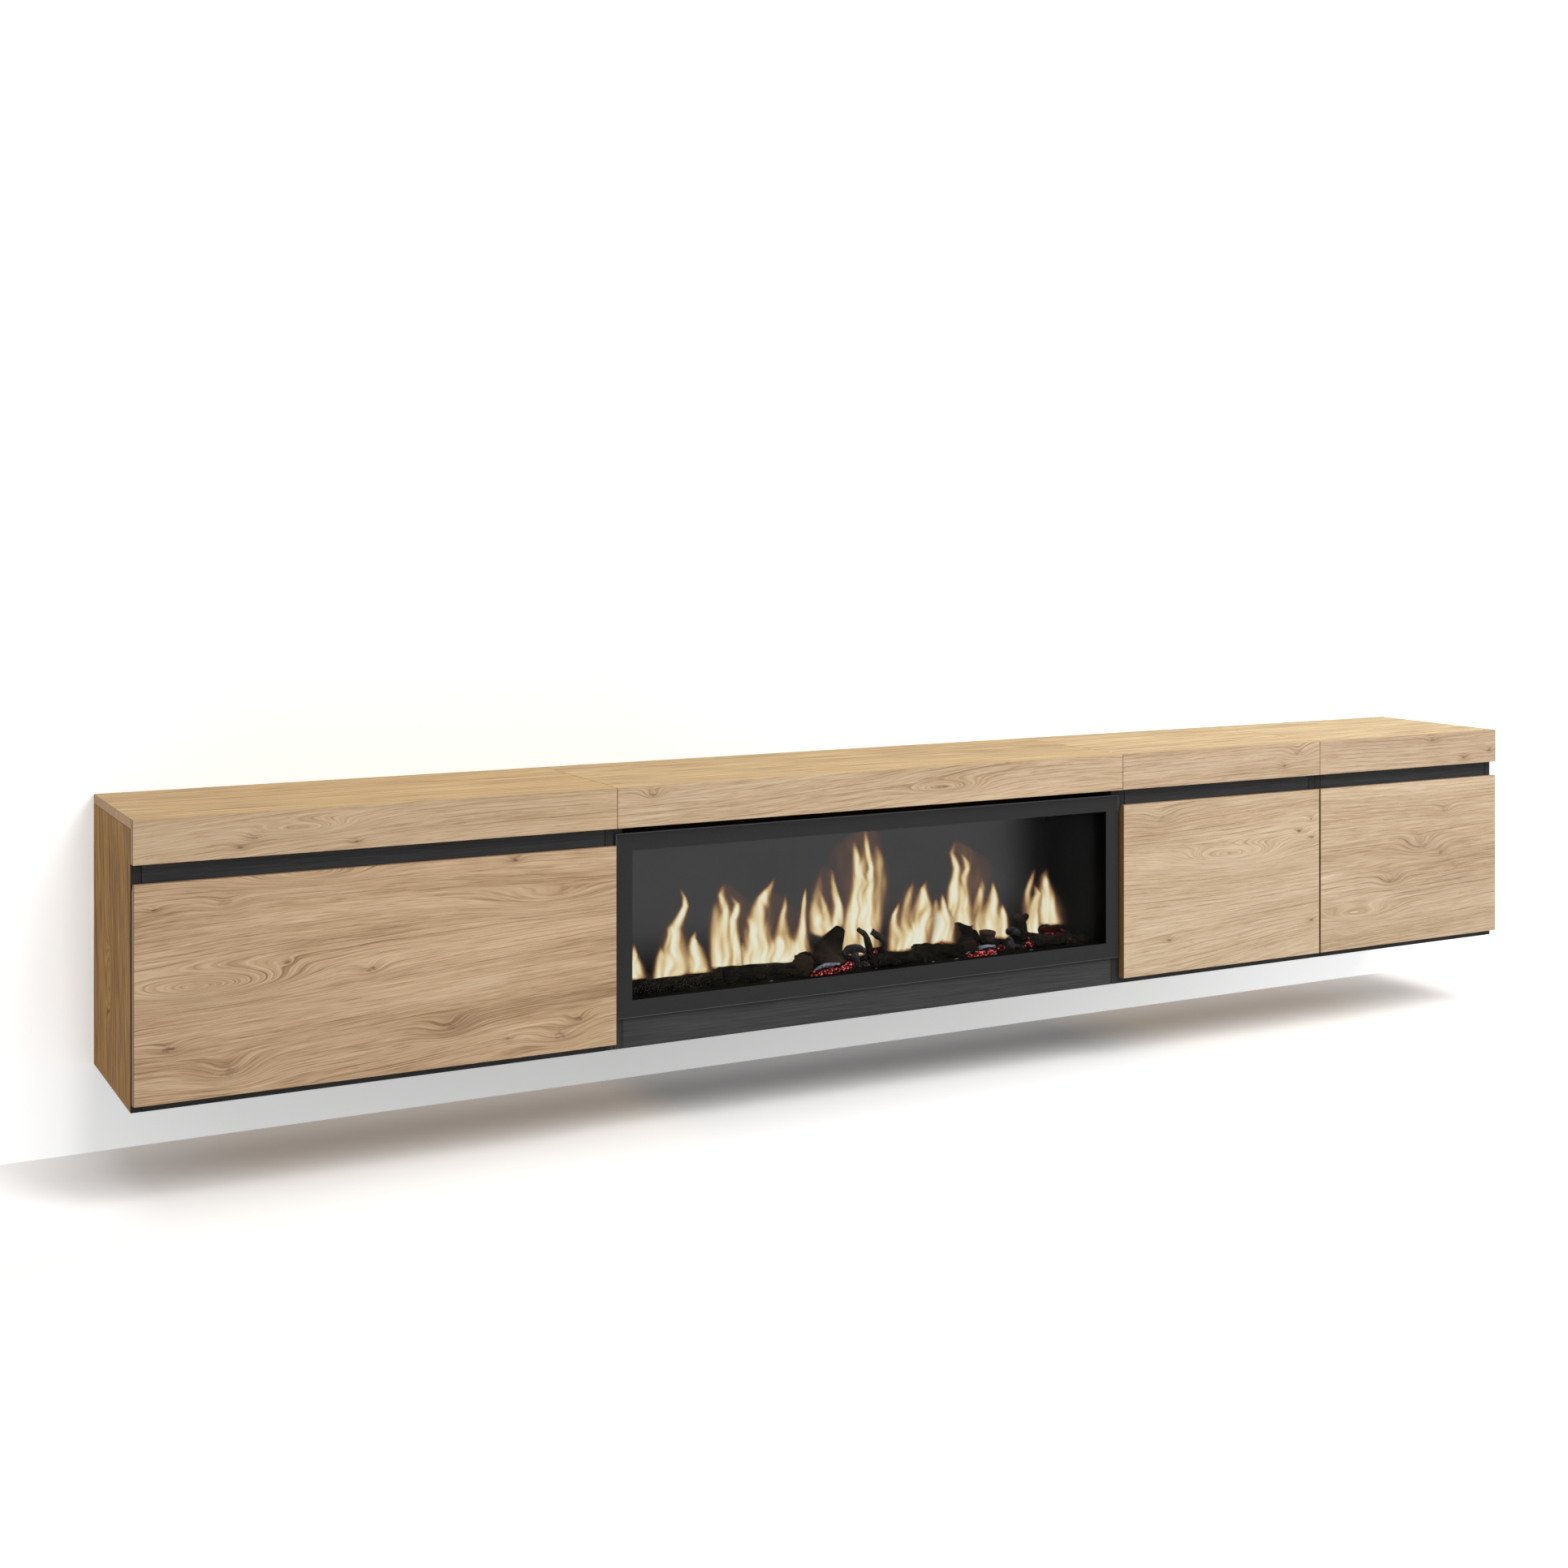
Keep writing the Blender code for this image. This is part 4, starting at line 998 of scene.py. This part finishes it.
for count in range(120):
    share_x, share_y = count * golden % 1, (count * silver + 0.1) % 1
    size = 0.0045 + 0.0045 * (count * plastic % 1)
    spot = Vector((
        bed_low.x + margin_x + share_x * (bed_size.x - 2 * margin_x),
        bed_low.y + margin_y + share_y * bed_size.y * strewn_depth,
        bed_top + size * 0.7,
    ))
    if min((spot - hot_spot).length for hot_spot, _, _ in glowing_lumps) > clear_of_hot:
        dark_lumps.append((spot, size, count))
ash_spots = (
    (943, 1212), (951, 1210), (984, 1208), (1080, 1195), (1086, 1195), (1150, 1186), (1179, 1183),
    (1072, 1146), (1271, 1172), (1002, 1203), (1226, 1176),
)
for count, (across, down) in enumerate(ash_spots):
    ash_lumps.append((on_bed(across, down, 0.004), 0.0030 + 0.0014 * (count * golden % 1), 300 + count))
coal_piece("dark_coals", charred, (1.3, 1, 0.8), 0.0, dark_lumps)
coal_piece("glowing_coals", charred, (1.25, 1, 0.85), 1.0, glowing_lumps)
coal_piece("ash_flakes", ash, (1.4, 1, 0.7), 0.0, ash_lumps)
print("coals:", len(dark_lumps), "dark,", len(glowing_lumps), "glowing,", len(ash_lumps), "flakes of ash")

# %% [markdown]
# ## Flames
#
# The flames are moving light that seems to stand among the logs. Each group of tongues is a curved sheet
# that exists only where there is light, so its outline is geometry. Every tongue is a centre line with a
# half width at each height, read from the photograph as places that are listed here. How bright a
# point is comes from how near it is to its tongues' lines, and is kept on the sheet as an attribute. The
# finish turns that into colour: brown at the edge, then gold, then cream.

# %% Flame finish
flame_light = Finish("flame_light", Roughness=1.0, Specular_IOR_Level=0.0, Emission_Strength=1.0)
glow = flame_light.attribute("glow")
flame_light.feed({
    "Base Color": (0, 0, 0, 1),
    "Emission Color": flame_light.ramp(
        glow, (0.0, (0.120, 0.066, 0.048)), (0.15, (0.160, 0.082, 0.054)), (0.30, (0.305, 0.177, 0.088)),
        (0.46, (0.480, 0.310, 0.140)), (0.66, (0.690, 0.540, 0.290)), (0.84, (0.800, 0.715, 0.475)),
        (1.0, (0.830, 0.820, 0.660)),
    ),
    "Alpha": flame_light.ramp(
        glow, (0.0, grey(0)), (0.15, grey(0.40)), (0.30, grey(0.72)), (0.46, grey(0.90)), (0.6, grey(1)),
    ),
})
print("flame finish: brown, gold, cream")

# %% [markdown]
# A sheet is a grid laid over the photograph, with 1.5 of its pixels to a cell, and cast back to its depth
# inside the fire. The brighter a point is, the more it bulges towards the glass. Cells with hardly any
# light are left out. Noise that is drawn out upwards adds wisps.

# %% Flame sheets
flame_cell = 1.5
flame_level = 0.94
wisp_share = 0.62
veil_strength = 0.3
flame_bulge = 0.006
reach_in_halves = 2.6
room_over, room_under = 6, 3
base_fade = 5
faint = 0.025


def tongue_light(across, down, strength, marks):
    """How bright one tongue makes the spots: marks are (centre, height, half width) from its tip down."""
    centres, heights, halves = np.array(marks, float).T
    centre = np.interp(down, heights, centres)
    half = np.interp(down, heights, halves)
    off = np.abs(across - centre) / half
    tip, fall, power = 7 + 0.2 * (heights[-1] - heights[0]), 1.1, 2.3
    if strength < veil_strength:
        tip, fall, power = 8, 0.8, 6
    rise = np.clip((down - heights[0] + 3) / tip, 0, 1)
    return strength * np.exp(-fall * off ** power) * rise ** 1.5 * (2.5 - 1.5 * rise)


def flame(name, depth, base, tongues, seed):
    """A sheet of flame at a depth. Base is the line that it stands on, as (across, down) spots."""
    base_across, base_down = np.array(base, float).T
    centres, heights, halves = np.vstack([rows for _, rows in tongues]).astype(float).T
    reach = reach_in_halves * halves
    across, down = np.meshgrid(
        np.arange((centres - reach).min(), (centres + reach).max(), flame_cell),
        np.arange(heights.min() - room_over, max(base_down) + room_under, flame_cell),
    )
    dark = np.ones_like(across)
    for strength, rows in tongues:
        dark *= 1 - tongue_light(across, down, strength * flame_level, rows)

    def wisp(column, row):
        sway = noise.noise(Vector((column * 0.03, row * 0.04, seed)))
        return noise.noise(Vector((column * 0.17 + sway * 1.6, row * 0.028, seed)))

    light = np.clip((1 - dark) * (1 + wisp_share * np.vectorize(wisp)(across, down)), 0, 1)
    below = down - np.interp(across, base_across, base_down)
    light *= 1 - np.clip((below + room_under) / base_fade, 0, 1)
    mesh = bmesh.new()
    layer = mesh.verts.layers.float.new("glow")
    made = {}

    def corner(row, column):
        if (row, column) not in made:
            value = light[row, column]
            spot = seen_at(across[row, column], down[row, column], depth - flame_bulge * value)
            made[row, column] = mesh.verts.new(spot)
            made[row, column][layer] = value
        return made[row, column]

    for row in range(light.shape[0] - 1):
        for column in range(light.shape[1] - 1):
            if light[row:row + 2, column:column + 2].max() > faint:
                cell = (row, column), (row + 1, column), (row + 1, column + 1), (row, column + 1)
                mesh.faces.new([corner(*place) for place in cell])
    piece = placed(name, mesh, flame_light, "carcass")
    piece.visible_shadow = False
    return piece


print("flame sheets can be made")

# %% [markdown]
# The groups stand from left to right as in the photograph. Each has its depth, the line it stands on, its
# tongues and a seed. A tongue's first number is its strength: below 0.3 it is one of the brown veils that
# hang round the tall flames.

# %% Left flames
flames = [
    flame("flame_far_left", -0.240, ((770, 1207), (800, 1207)), (
        (1.0, ((781, 1164, 1.5), (782, 1178, 4), (782, 1190, 8), (781, 1206, 12))),
    ), 1.0),
    flame("flame_left", -0.236, ((805, 1211), (827, 1206), (844, 1201), (858, 1200), (880, 1198)), (
        (1.0, ((837, 1093, 1.2), (843.5, 1106, 2.6), (844.5, 1116, 3.8), (839, 1129, 5.5), (831, 1144, 8),
               (831, 1160, 12), (831, 1180, 15), (828, 1208, 19))),
        (0.9, ((814, 1167, 1.5), (814, 1180, 4.5), (813, 1210, 7))),
        (1.0, ((857, 1147, 1.5), (854, 1156, 3.5), (856, 1168, 8), (859, 1184, 11), (862, 1199, 12))),
    ), 2.0),
    flame("flame_pair", -0.236, ((870, 1193), (888, 1193), (905, 1192), (920, 1193)), (
        (0.16, ((892, 1088, 4), (898, 1100, 14), (902, 1112, 20), (901, 1126, 20), (898, 1145, 18),
                (896, 1190, 15))),
        (1.0, ((891, 1091, 1.8), (888.6, 1103, 3.8), (892, 1115, 4.6), (894, 1124, 5.2), (892, 1141, 6.5),
               (890, 1156, 8), (889, 1172, 10), (889, 1192, 11))),
        (1.0, ((901.6, 1105, 1.6), (908, 1114, 3.2), (907, 1123, 4), (902.8, 1134, 4.4), (903, 1146, 5),
               (905, 1160, 5.6), (907, 1172, 6.6), (906, 1192, 8))),
        (0.55, ((882, 1110, 3), (881, 1130, 6), (881, 1160, 7), (884, 1190, 8))),
    ), 3.0),
    flame("flame_broad", -0.232, ((905, 1192), (930, 1190), (960, 1189), (1000, 1186)), (
        (1.0, ((955, 1081, 1.2), (949, 1092, 3.6), (940, 1106, 7), (935, 1120, 9.5), (932, 1134, 11.5),
               (932, 1149, 14), (934, 1164, 17), (935, 1190, 22))),
        (0.62, ((968, 1101, 1.8), (966.7, 1118, 3), (964, 1130, 4.5), (964.4, 1146, 7), (965, 1160, 9),
                (965, 1188, 13))),
        (1.0, ((992.7, 1093, 1.2), (991, 1111, 2.6), (990, 1126, 3.4), (989, 1141, 4.6), (988, 1156, 6.5),
               (987, 1172, 9), (985, 1187, 12))),
        (0.85, ((965, 1152, 6), (964, 1170, 20), (962, 1188, 30))),
        (0.8, ((915, 1162, 2), (914, 1176, 6), (913, 1190, 9))),
        (0.13, ((950, 1100, 10), (962, 1130, 24), (964, 1160, 28), (964, 1186, 30))),
    ), 4.0),
]
print("left flames:", len(flames))

# %% Middle flames
flames += [
    flame("flame_over_stump", -0.205, ((995, 1150), (1012, 1154), (1026, 1150), (1044, 1137)), (
        (0.42, ((1010.6, 1076, 2.5), (1009, 1092, 5), (1006, 1113, 7), (1005, 1131, 8), (1007, 1152, 9))),
        (0.6, ((1011.6, 1101, 2), (1015.7, 1117, 3.5), (1018.8, 1131, 5), (1020, 1152, 7))),
        (0.75, ((1003, 1108, 3), (1004, 1125, 6), (1010, 1140, 10), (1016, 1153, 13))),
        (1.0, ((1026, 1073, 1.5), (1026, 1085, 2.5), (1029, 1101, 3.6), (1033, 1115, 4.8), (1034, 1126, 6.5),
               (1032, 1141, 9), (1028, 1152, 12))),
        (0.14, ((1018, 1068, 6), (1018, 1090, 15), (1018, 1120, 20), (1018, 1150, 20))),
    ), 5.0),
    flame("flame_tallest", -0.215, ((1036, 1173), (1046, 1176), (1056, 1178), (1084, 1170), (1096, 1150)), (
        (0.16, ((1067, 1019, 6), (1065, 1030, 19), (1057, 1043, 28), (1056, 1056, 31), (1059, 1072, 28),
                (1062, 1092, 25), (1063, 1118, 22), (1061, 1172, 15))),
        (1.0, ((1053, 1037, 2), (1056, 1060, 4.6), (1057.6, 1080, 5.8), (1056.5, 1096, 6.4), (1055, 1111, 8),
               (1051, 1126, 9.5), (1049, 1142, 10), (1046, 1162, 9), (1044, 1174, 7))),
        (1.0, ((1066, 1020, 1.8), (1068, 1042, 2.8), (1071, 1060, 3), (1073.5, 1070, 3.2),
               (1070.5, 1085, 4.4), (1070.5, 1101, 5.6), (1070, 1116, 6.4), (1069, 1131, 8),
               (1069, 1147, 8.6), (1066, 1165, 9), (1062, 1176, 8))),
        (0.42, ((1060, 1046, 4), (1062, 1062, 6), (1064, 1090, 6), (1062, 1120, 7), (1060, 1150, 8))),
        (0.42, ((1079, 1040, 4), (1083, 1066, 8), (1084, 1085, 9), (1083, 1104, 9), (1081, 1131, 8),
                (1079, 1150, 6))),
    ), 6.0),
    flame("flame_low_right", -0.232, ((1092, 1173), (1112, 1172), (1124, 1169), (1146, 1165)), (
        (0.9, ((1108, 1112, 1.6), (1102, 1128, 3), (1101, 1138, 4.5), (1103, 1150, 7), (1104, 1174, 9))),
        (0.6, ((1126, 1083, 1.6), (1121, 1100, 3.5), (1117, 1115, 5), (1115, 1128, 7), (1114, 1144, 9),
               (1116, 1172, 9))),
        (1.0, ((1141.5, 1085, 1.6), (1138, 1094, 4), (1138, 1106, 6.5), (1139, 1120, 11), (1138, 1133, 13),
               (1133, 1149, 13), (1129, 1168, 12))),
        (1.0, ((1127, 1138, 2.2), (1125, 1155, 5.5), (1124, 1171, 7))),
        (0.13, ((1122, 1092, 6), (1122, 1118, 18), (1122, 1150, 24), (1122, 1170, 24))),
    ), 7.0),
]
print("flames so far:", len(flames))

# %% Right flames
flames += [
    flame("flame_small_bright", -0.226, ((1140, 1166), (1150, 1164), (1160, 1160), (1176, 1163)), (
        (0.6, ((1154, 1106, 2), (1153, 1125, 5.5), (1155, 1140, 8))),
        (0.95, ((1161, 1101, 1.6), (1163, 1118, 4), (1165, 1131, 7.5), (1163, 1145, 10))),
        (1.0, ((1160, 1122, 7), (1160.5, 1134, 11), (1160, 1150, 13), (1160, 1165, 14))),
    ), 8.0),
    flame("flame_twin_tall", -0.195, ((1164, 1147), (1178, 1145), (1194, 1144), (1206, 1146)), (
        (0.16, ((1177, 1036, 5), (1188, 1048, 13), (1196, 1058, 19), (1199, 1070, 22), (1196, 1086, 22),
                (1190, 1102, 17), (1185, 1122, 16), (1184, 1146, 15))),
        (1.0, ((1175.6, 1039, 1.8), (1172.5, 1051, 3), (1176, 1061, 3.8), (1179, 1070, 4.4), (1178, 1081, 5),
               (1175.6, 1095, 6.6), (1174.8, 1111, 8), (1175.6, 1128, 9), (1177, 1146, 9))),
        (1.0, ((1185, 1053, 1.8), (1191, 1062, 3), (1191.5, 1070, 3.2), (1188, 1080, 3.8), (1187, 1091, 4.4),
               (1187.6, 1106, 5.6), (1190, 1122, 7.5), (1191, 1145, 11))),
    ), 9.0),
    flame("flame_crown", -0.205, ((1196, 1153), (1208, 1152), (1224, 1155), (1244, 1157)), (
        (0.75, ((1209, 1081, 1.8), (1210, 1093, 4), (1207, 1106, 5.4), (1204, 1122, 6), (1204, 1152, 6))),
        (1.0, ((1223, 1086, 1.6), (1224, 1097, 3.5), (1224, 1110, 6.5), (1221, 1128, 11), (1220, 1155, 13))),
        (1.0, ((1235, 1115, 2), (1236, 1128, 4.6), (1236, 1138, 5.6), (1235, 1158, 7.5))),
    ), 10.0),
    flame("flame_right_front", -0.215, ((1262, 1158), (1275, 1159), (1288, 1159)), (
        (0.6, ((1275, 1070, 1.6), (1270, 1086, 3), (1266, 1100, 4), (1266, 1113, 5.4), (1269, 1132, 7),
               (1272, 1158, 8))),
        (0.95, ((1275, 1091, 2), (1279, 1101, 4), (1276, 1111, 5), (1273, 1122, 6), (1273, 1138, 8),
                (1276, 1158, 11))),
    ), 11.0),
    flame("flame_right_back", -0.185, ((1274, 1139), (1292, 1140), (1312, 1139)), (
        (1.0, ((1289, 1071, 1.6), (1286.5, 1079, 3.6), (1287.6, 1092, 6.5), (1289, 1107, 10.5),
               (1292, 1120, 12.5), (1294, 1140, 14))),
        (0.5, ((1281, 1096, 3), (1281, 1112, 6), (1283, 1126, 7), (1285, 1140, 8))),
    ), 12.0),
]
print("flames:", len(flames))

# %% [markdown]
# ## Light, wall and floor
#
# One big soft lamp to the right, above and in front makes the top the brightest and lets the front brighten
# to the right. An even world fills the rest at a level where a colour renders about as it is written. The
# wall and floor only take shadows: their white is a colour of their own, with a glow of painted light on it,
# and they are see-through from behind, so the cabinet's back can be looked at.


# %% World and lamp
def seen_directly(sheet):
    """1 for the camera, and for what shows in metal or through glass."""
    def ray(kind):
        return sheet.node("ShaderNodeLightPath", output=f"Is {kind} Ray")

    return sheet.maths("MAXIMUM", ray("Camera"), sheet.maths("MAXIMUM", ray("Glossy"), ray("Transmission")))


fill_level = 0.42
world = bpy.data.worlds.new("studio")
world.use_nodes = True
scene.world = world
studio = Sheet(world.node_tree)
background = world.node_tree.nodes["Background"]
background.inputs["Color"].default_value = (1, 1, 1, 1)
studio.plug(background.inputs["Strength"], studio.between(seen_directly(studio), fill_level, 1.0))

lamp_data = bpy.data.lights.new("soft_lamp", "AREA")
lamp_data.shape = "SQUARE"
lamp_data.size = 3.8
lamp_data.energy = 250
lamp = bpy.data.objects.new("soft_lamp", lamp_data)
lamp_aim = Vector((0.2, -0.2, -0.1))
lamp.location = (1.8, -3.0, 3.9)
lamp.rotation_euler = (lamp_aim - lamp.location).to_track_quat("-Z", "Y").to_euler()
scene.collection.objects.link(lamp)
print("lamp:", lamp_data.energy, "W; world:", fill_level)

# %% [markdown]
# The wall fades to white at both ends, and the oak fronts throw warm light on the floor. Both are painted
# light: the planes glow faintly, by an amount that a ramp gives for each place along the wall.


# %% Wall and floor
near_white = (0.97, 0.96, 0.95)


def stage_plane(name, corners, glow):
    """A plane that is nearly white by itself and keeps the object's shadow. Glow works out its emission."""
    mesh = bpy.data.meshes.new(name)
    mesh.from_pydata(corners, [], [(0, 1, 2, 3)])
    plane = bpy.data.objects.new(name, mesh)
    scene.collection.objects.link(plane)
    sheet = Finish(name, Roughness=1.0, Specular_IOR_Level=0.0, Emission_Strength=1.0)
    sheet.feed({"Base Color": (*near_white, 1), "Emission Color": glow(sheet)})
    behind = sheet.node("ShaderNodeNewGeometry", output="Backfacing")
    clear = sheet.node("ShaderNodeBsdfTransparent")
    lit = Signal(sheet, sheet.shader.outputs["BSDF"])
    both = sheet.node("ShaderNodeMixShader", sockets={0: behind, 1: lit, 2: clear})
    sheet.plug(sheet.tree.nodes["Material Output"].inputs["Surface"], both)
    mesh.materials.append(sheet.material)
    plane.visible_diffuse = False
    plane.visible_shadow = False


ramp_end = 1.7


def glow_along(sheet, stops):
    """A ramp along the wall, from rows of x in metres and a colour."""
    def share(place):
        return (place + ramp_end) / (2 * ramp_end)

    x = sheet.split(sheet.place())[0]
    return sheet.ramp(share(x), *[(share(at), colour) for at, colour in stops])


def wall_glow(sheet):
    # Painted light that fades the wall to white at both ends.
    levels = (
        (-1.60, 0.68), (-1.50, 0.56), (-1.45, 0.38), (-1.20, 0.31), (-0.50, 0.25), (0.30, 0.31), (0.75, 0.42),
        (1.20, 0.58), (1.45, 0.62),
    )
    return glow_along(sheet, [(at, grey(level)) for at, level in levels])


def floor_glow(sheet):
    # Painted light: warm bounce from the oak fronts, and a plainer glow under the fire.
    warm, plain = (0.140, 0.100, 0.065), (0.045, 0.043, 0.042)
    near = glow_along(sheet, (
        (-1.66, grey(0.60)), (-1.50, (0.32, 0.30, 0.29)), (-1.40, (0.16, 0.13, 0.11)), (-1.20, warm),
        (-0.55, warm), (-0.45, plain), (0.45, plain), (0.65, (0.16, 0.12, 0.08)), (1.10, (0.22, 0.17, 0.13)),
        (1.35, (0.30, 0.27, 0.25)),
    ))
    y = sheet.split(sheet.place())[1]
    return sheet.blend(sheet.smooth(y, -0.25, -0.50), near, grey(0.22))


floor_level = -0.530
reach = 7.0
wall_plane = 0.001
stage_plane("wall_backdrop", [
    (-reach, wall_plane, floor_level), (reach, wall_plane, floor_level),
    (reach, wall_plane, reach), (-reach, wall_plane, reach),
], wall_glow)
stage_plane("floor_backdrop", [
    (-reach, -reach, floor_level), (reach, -reach, floor_level),
    (reach, reach, floor_level), (-reach, reach, floor_level),
], floor_glow)
print("stage: wall and floor")
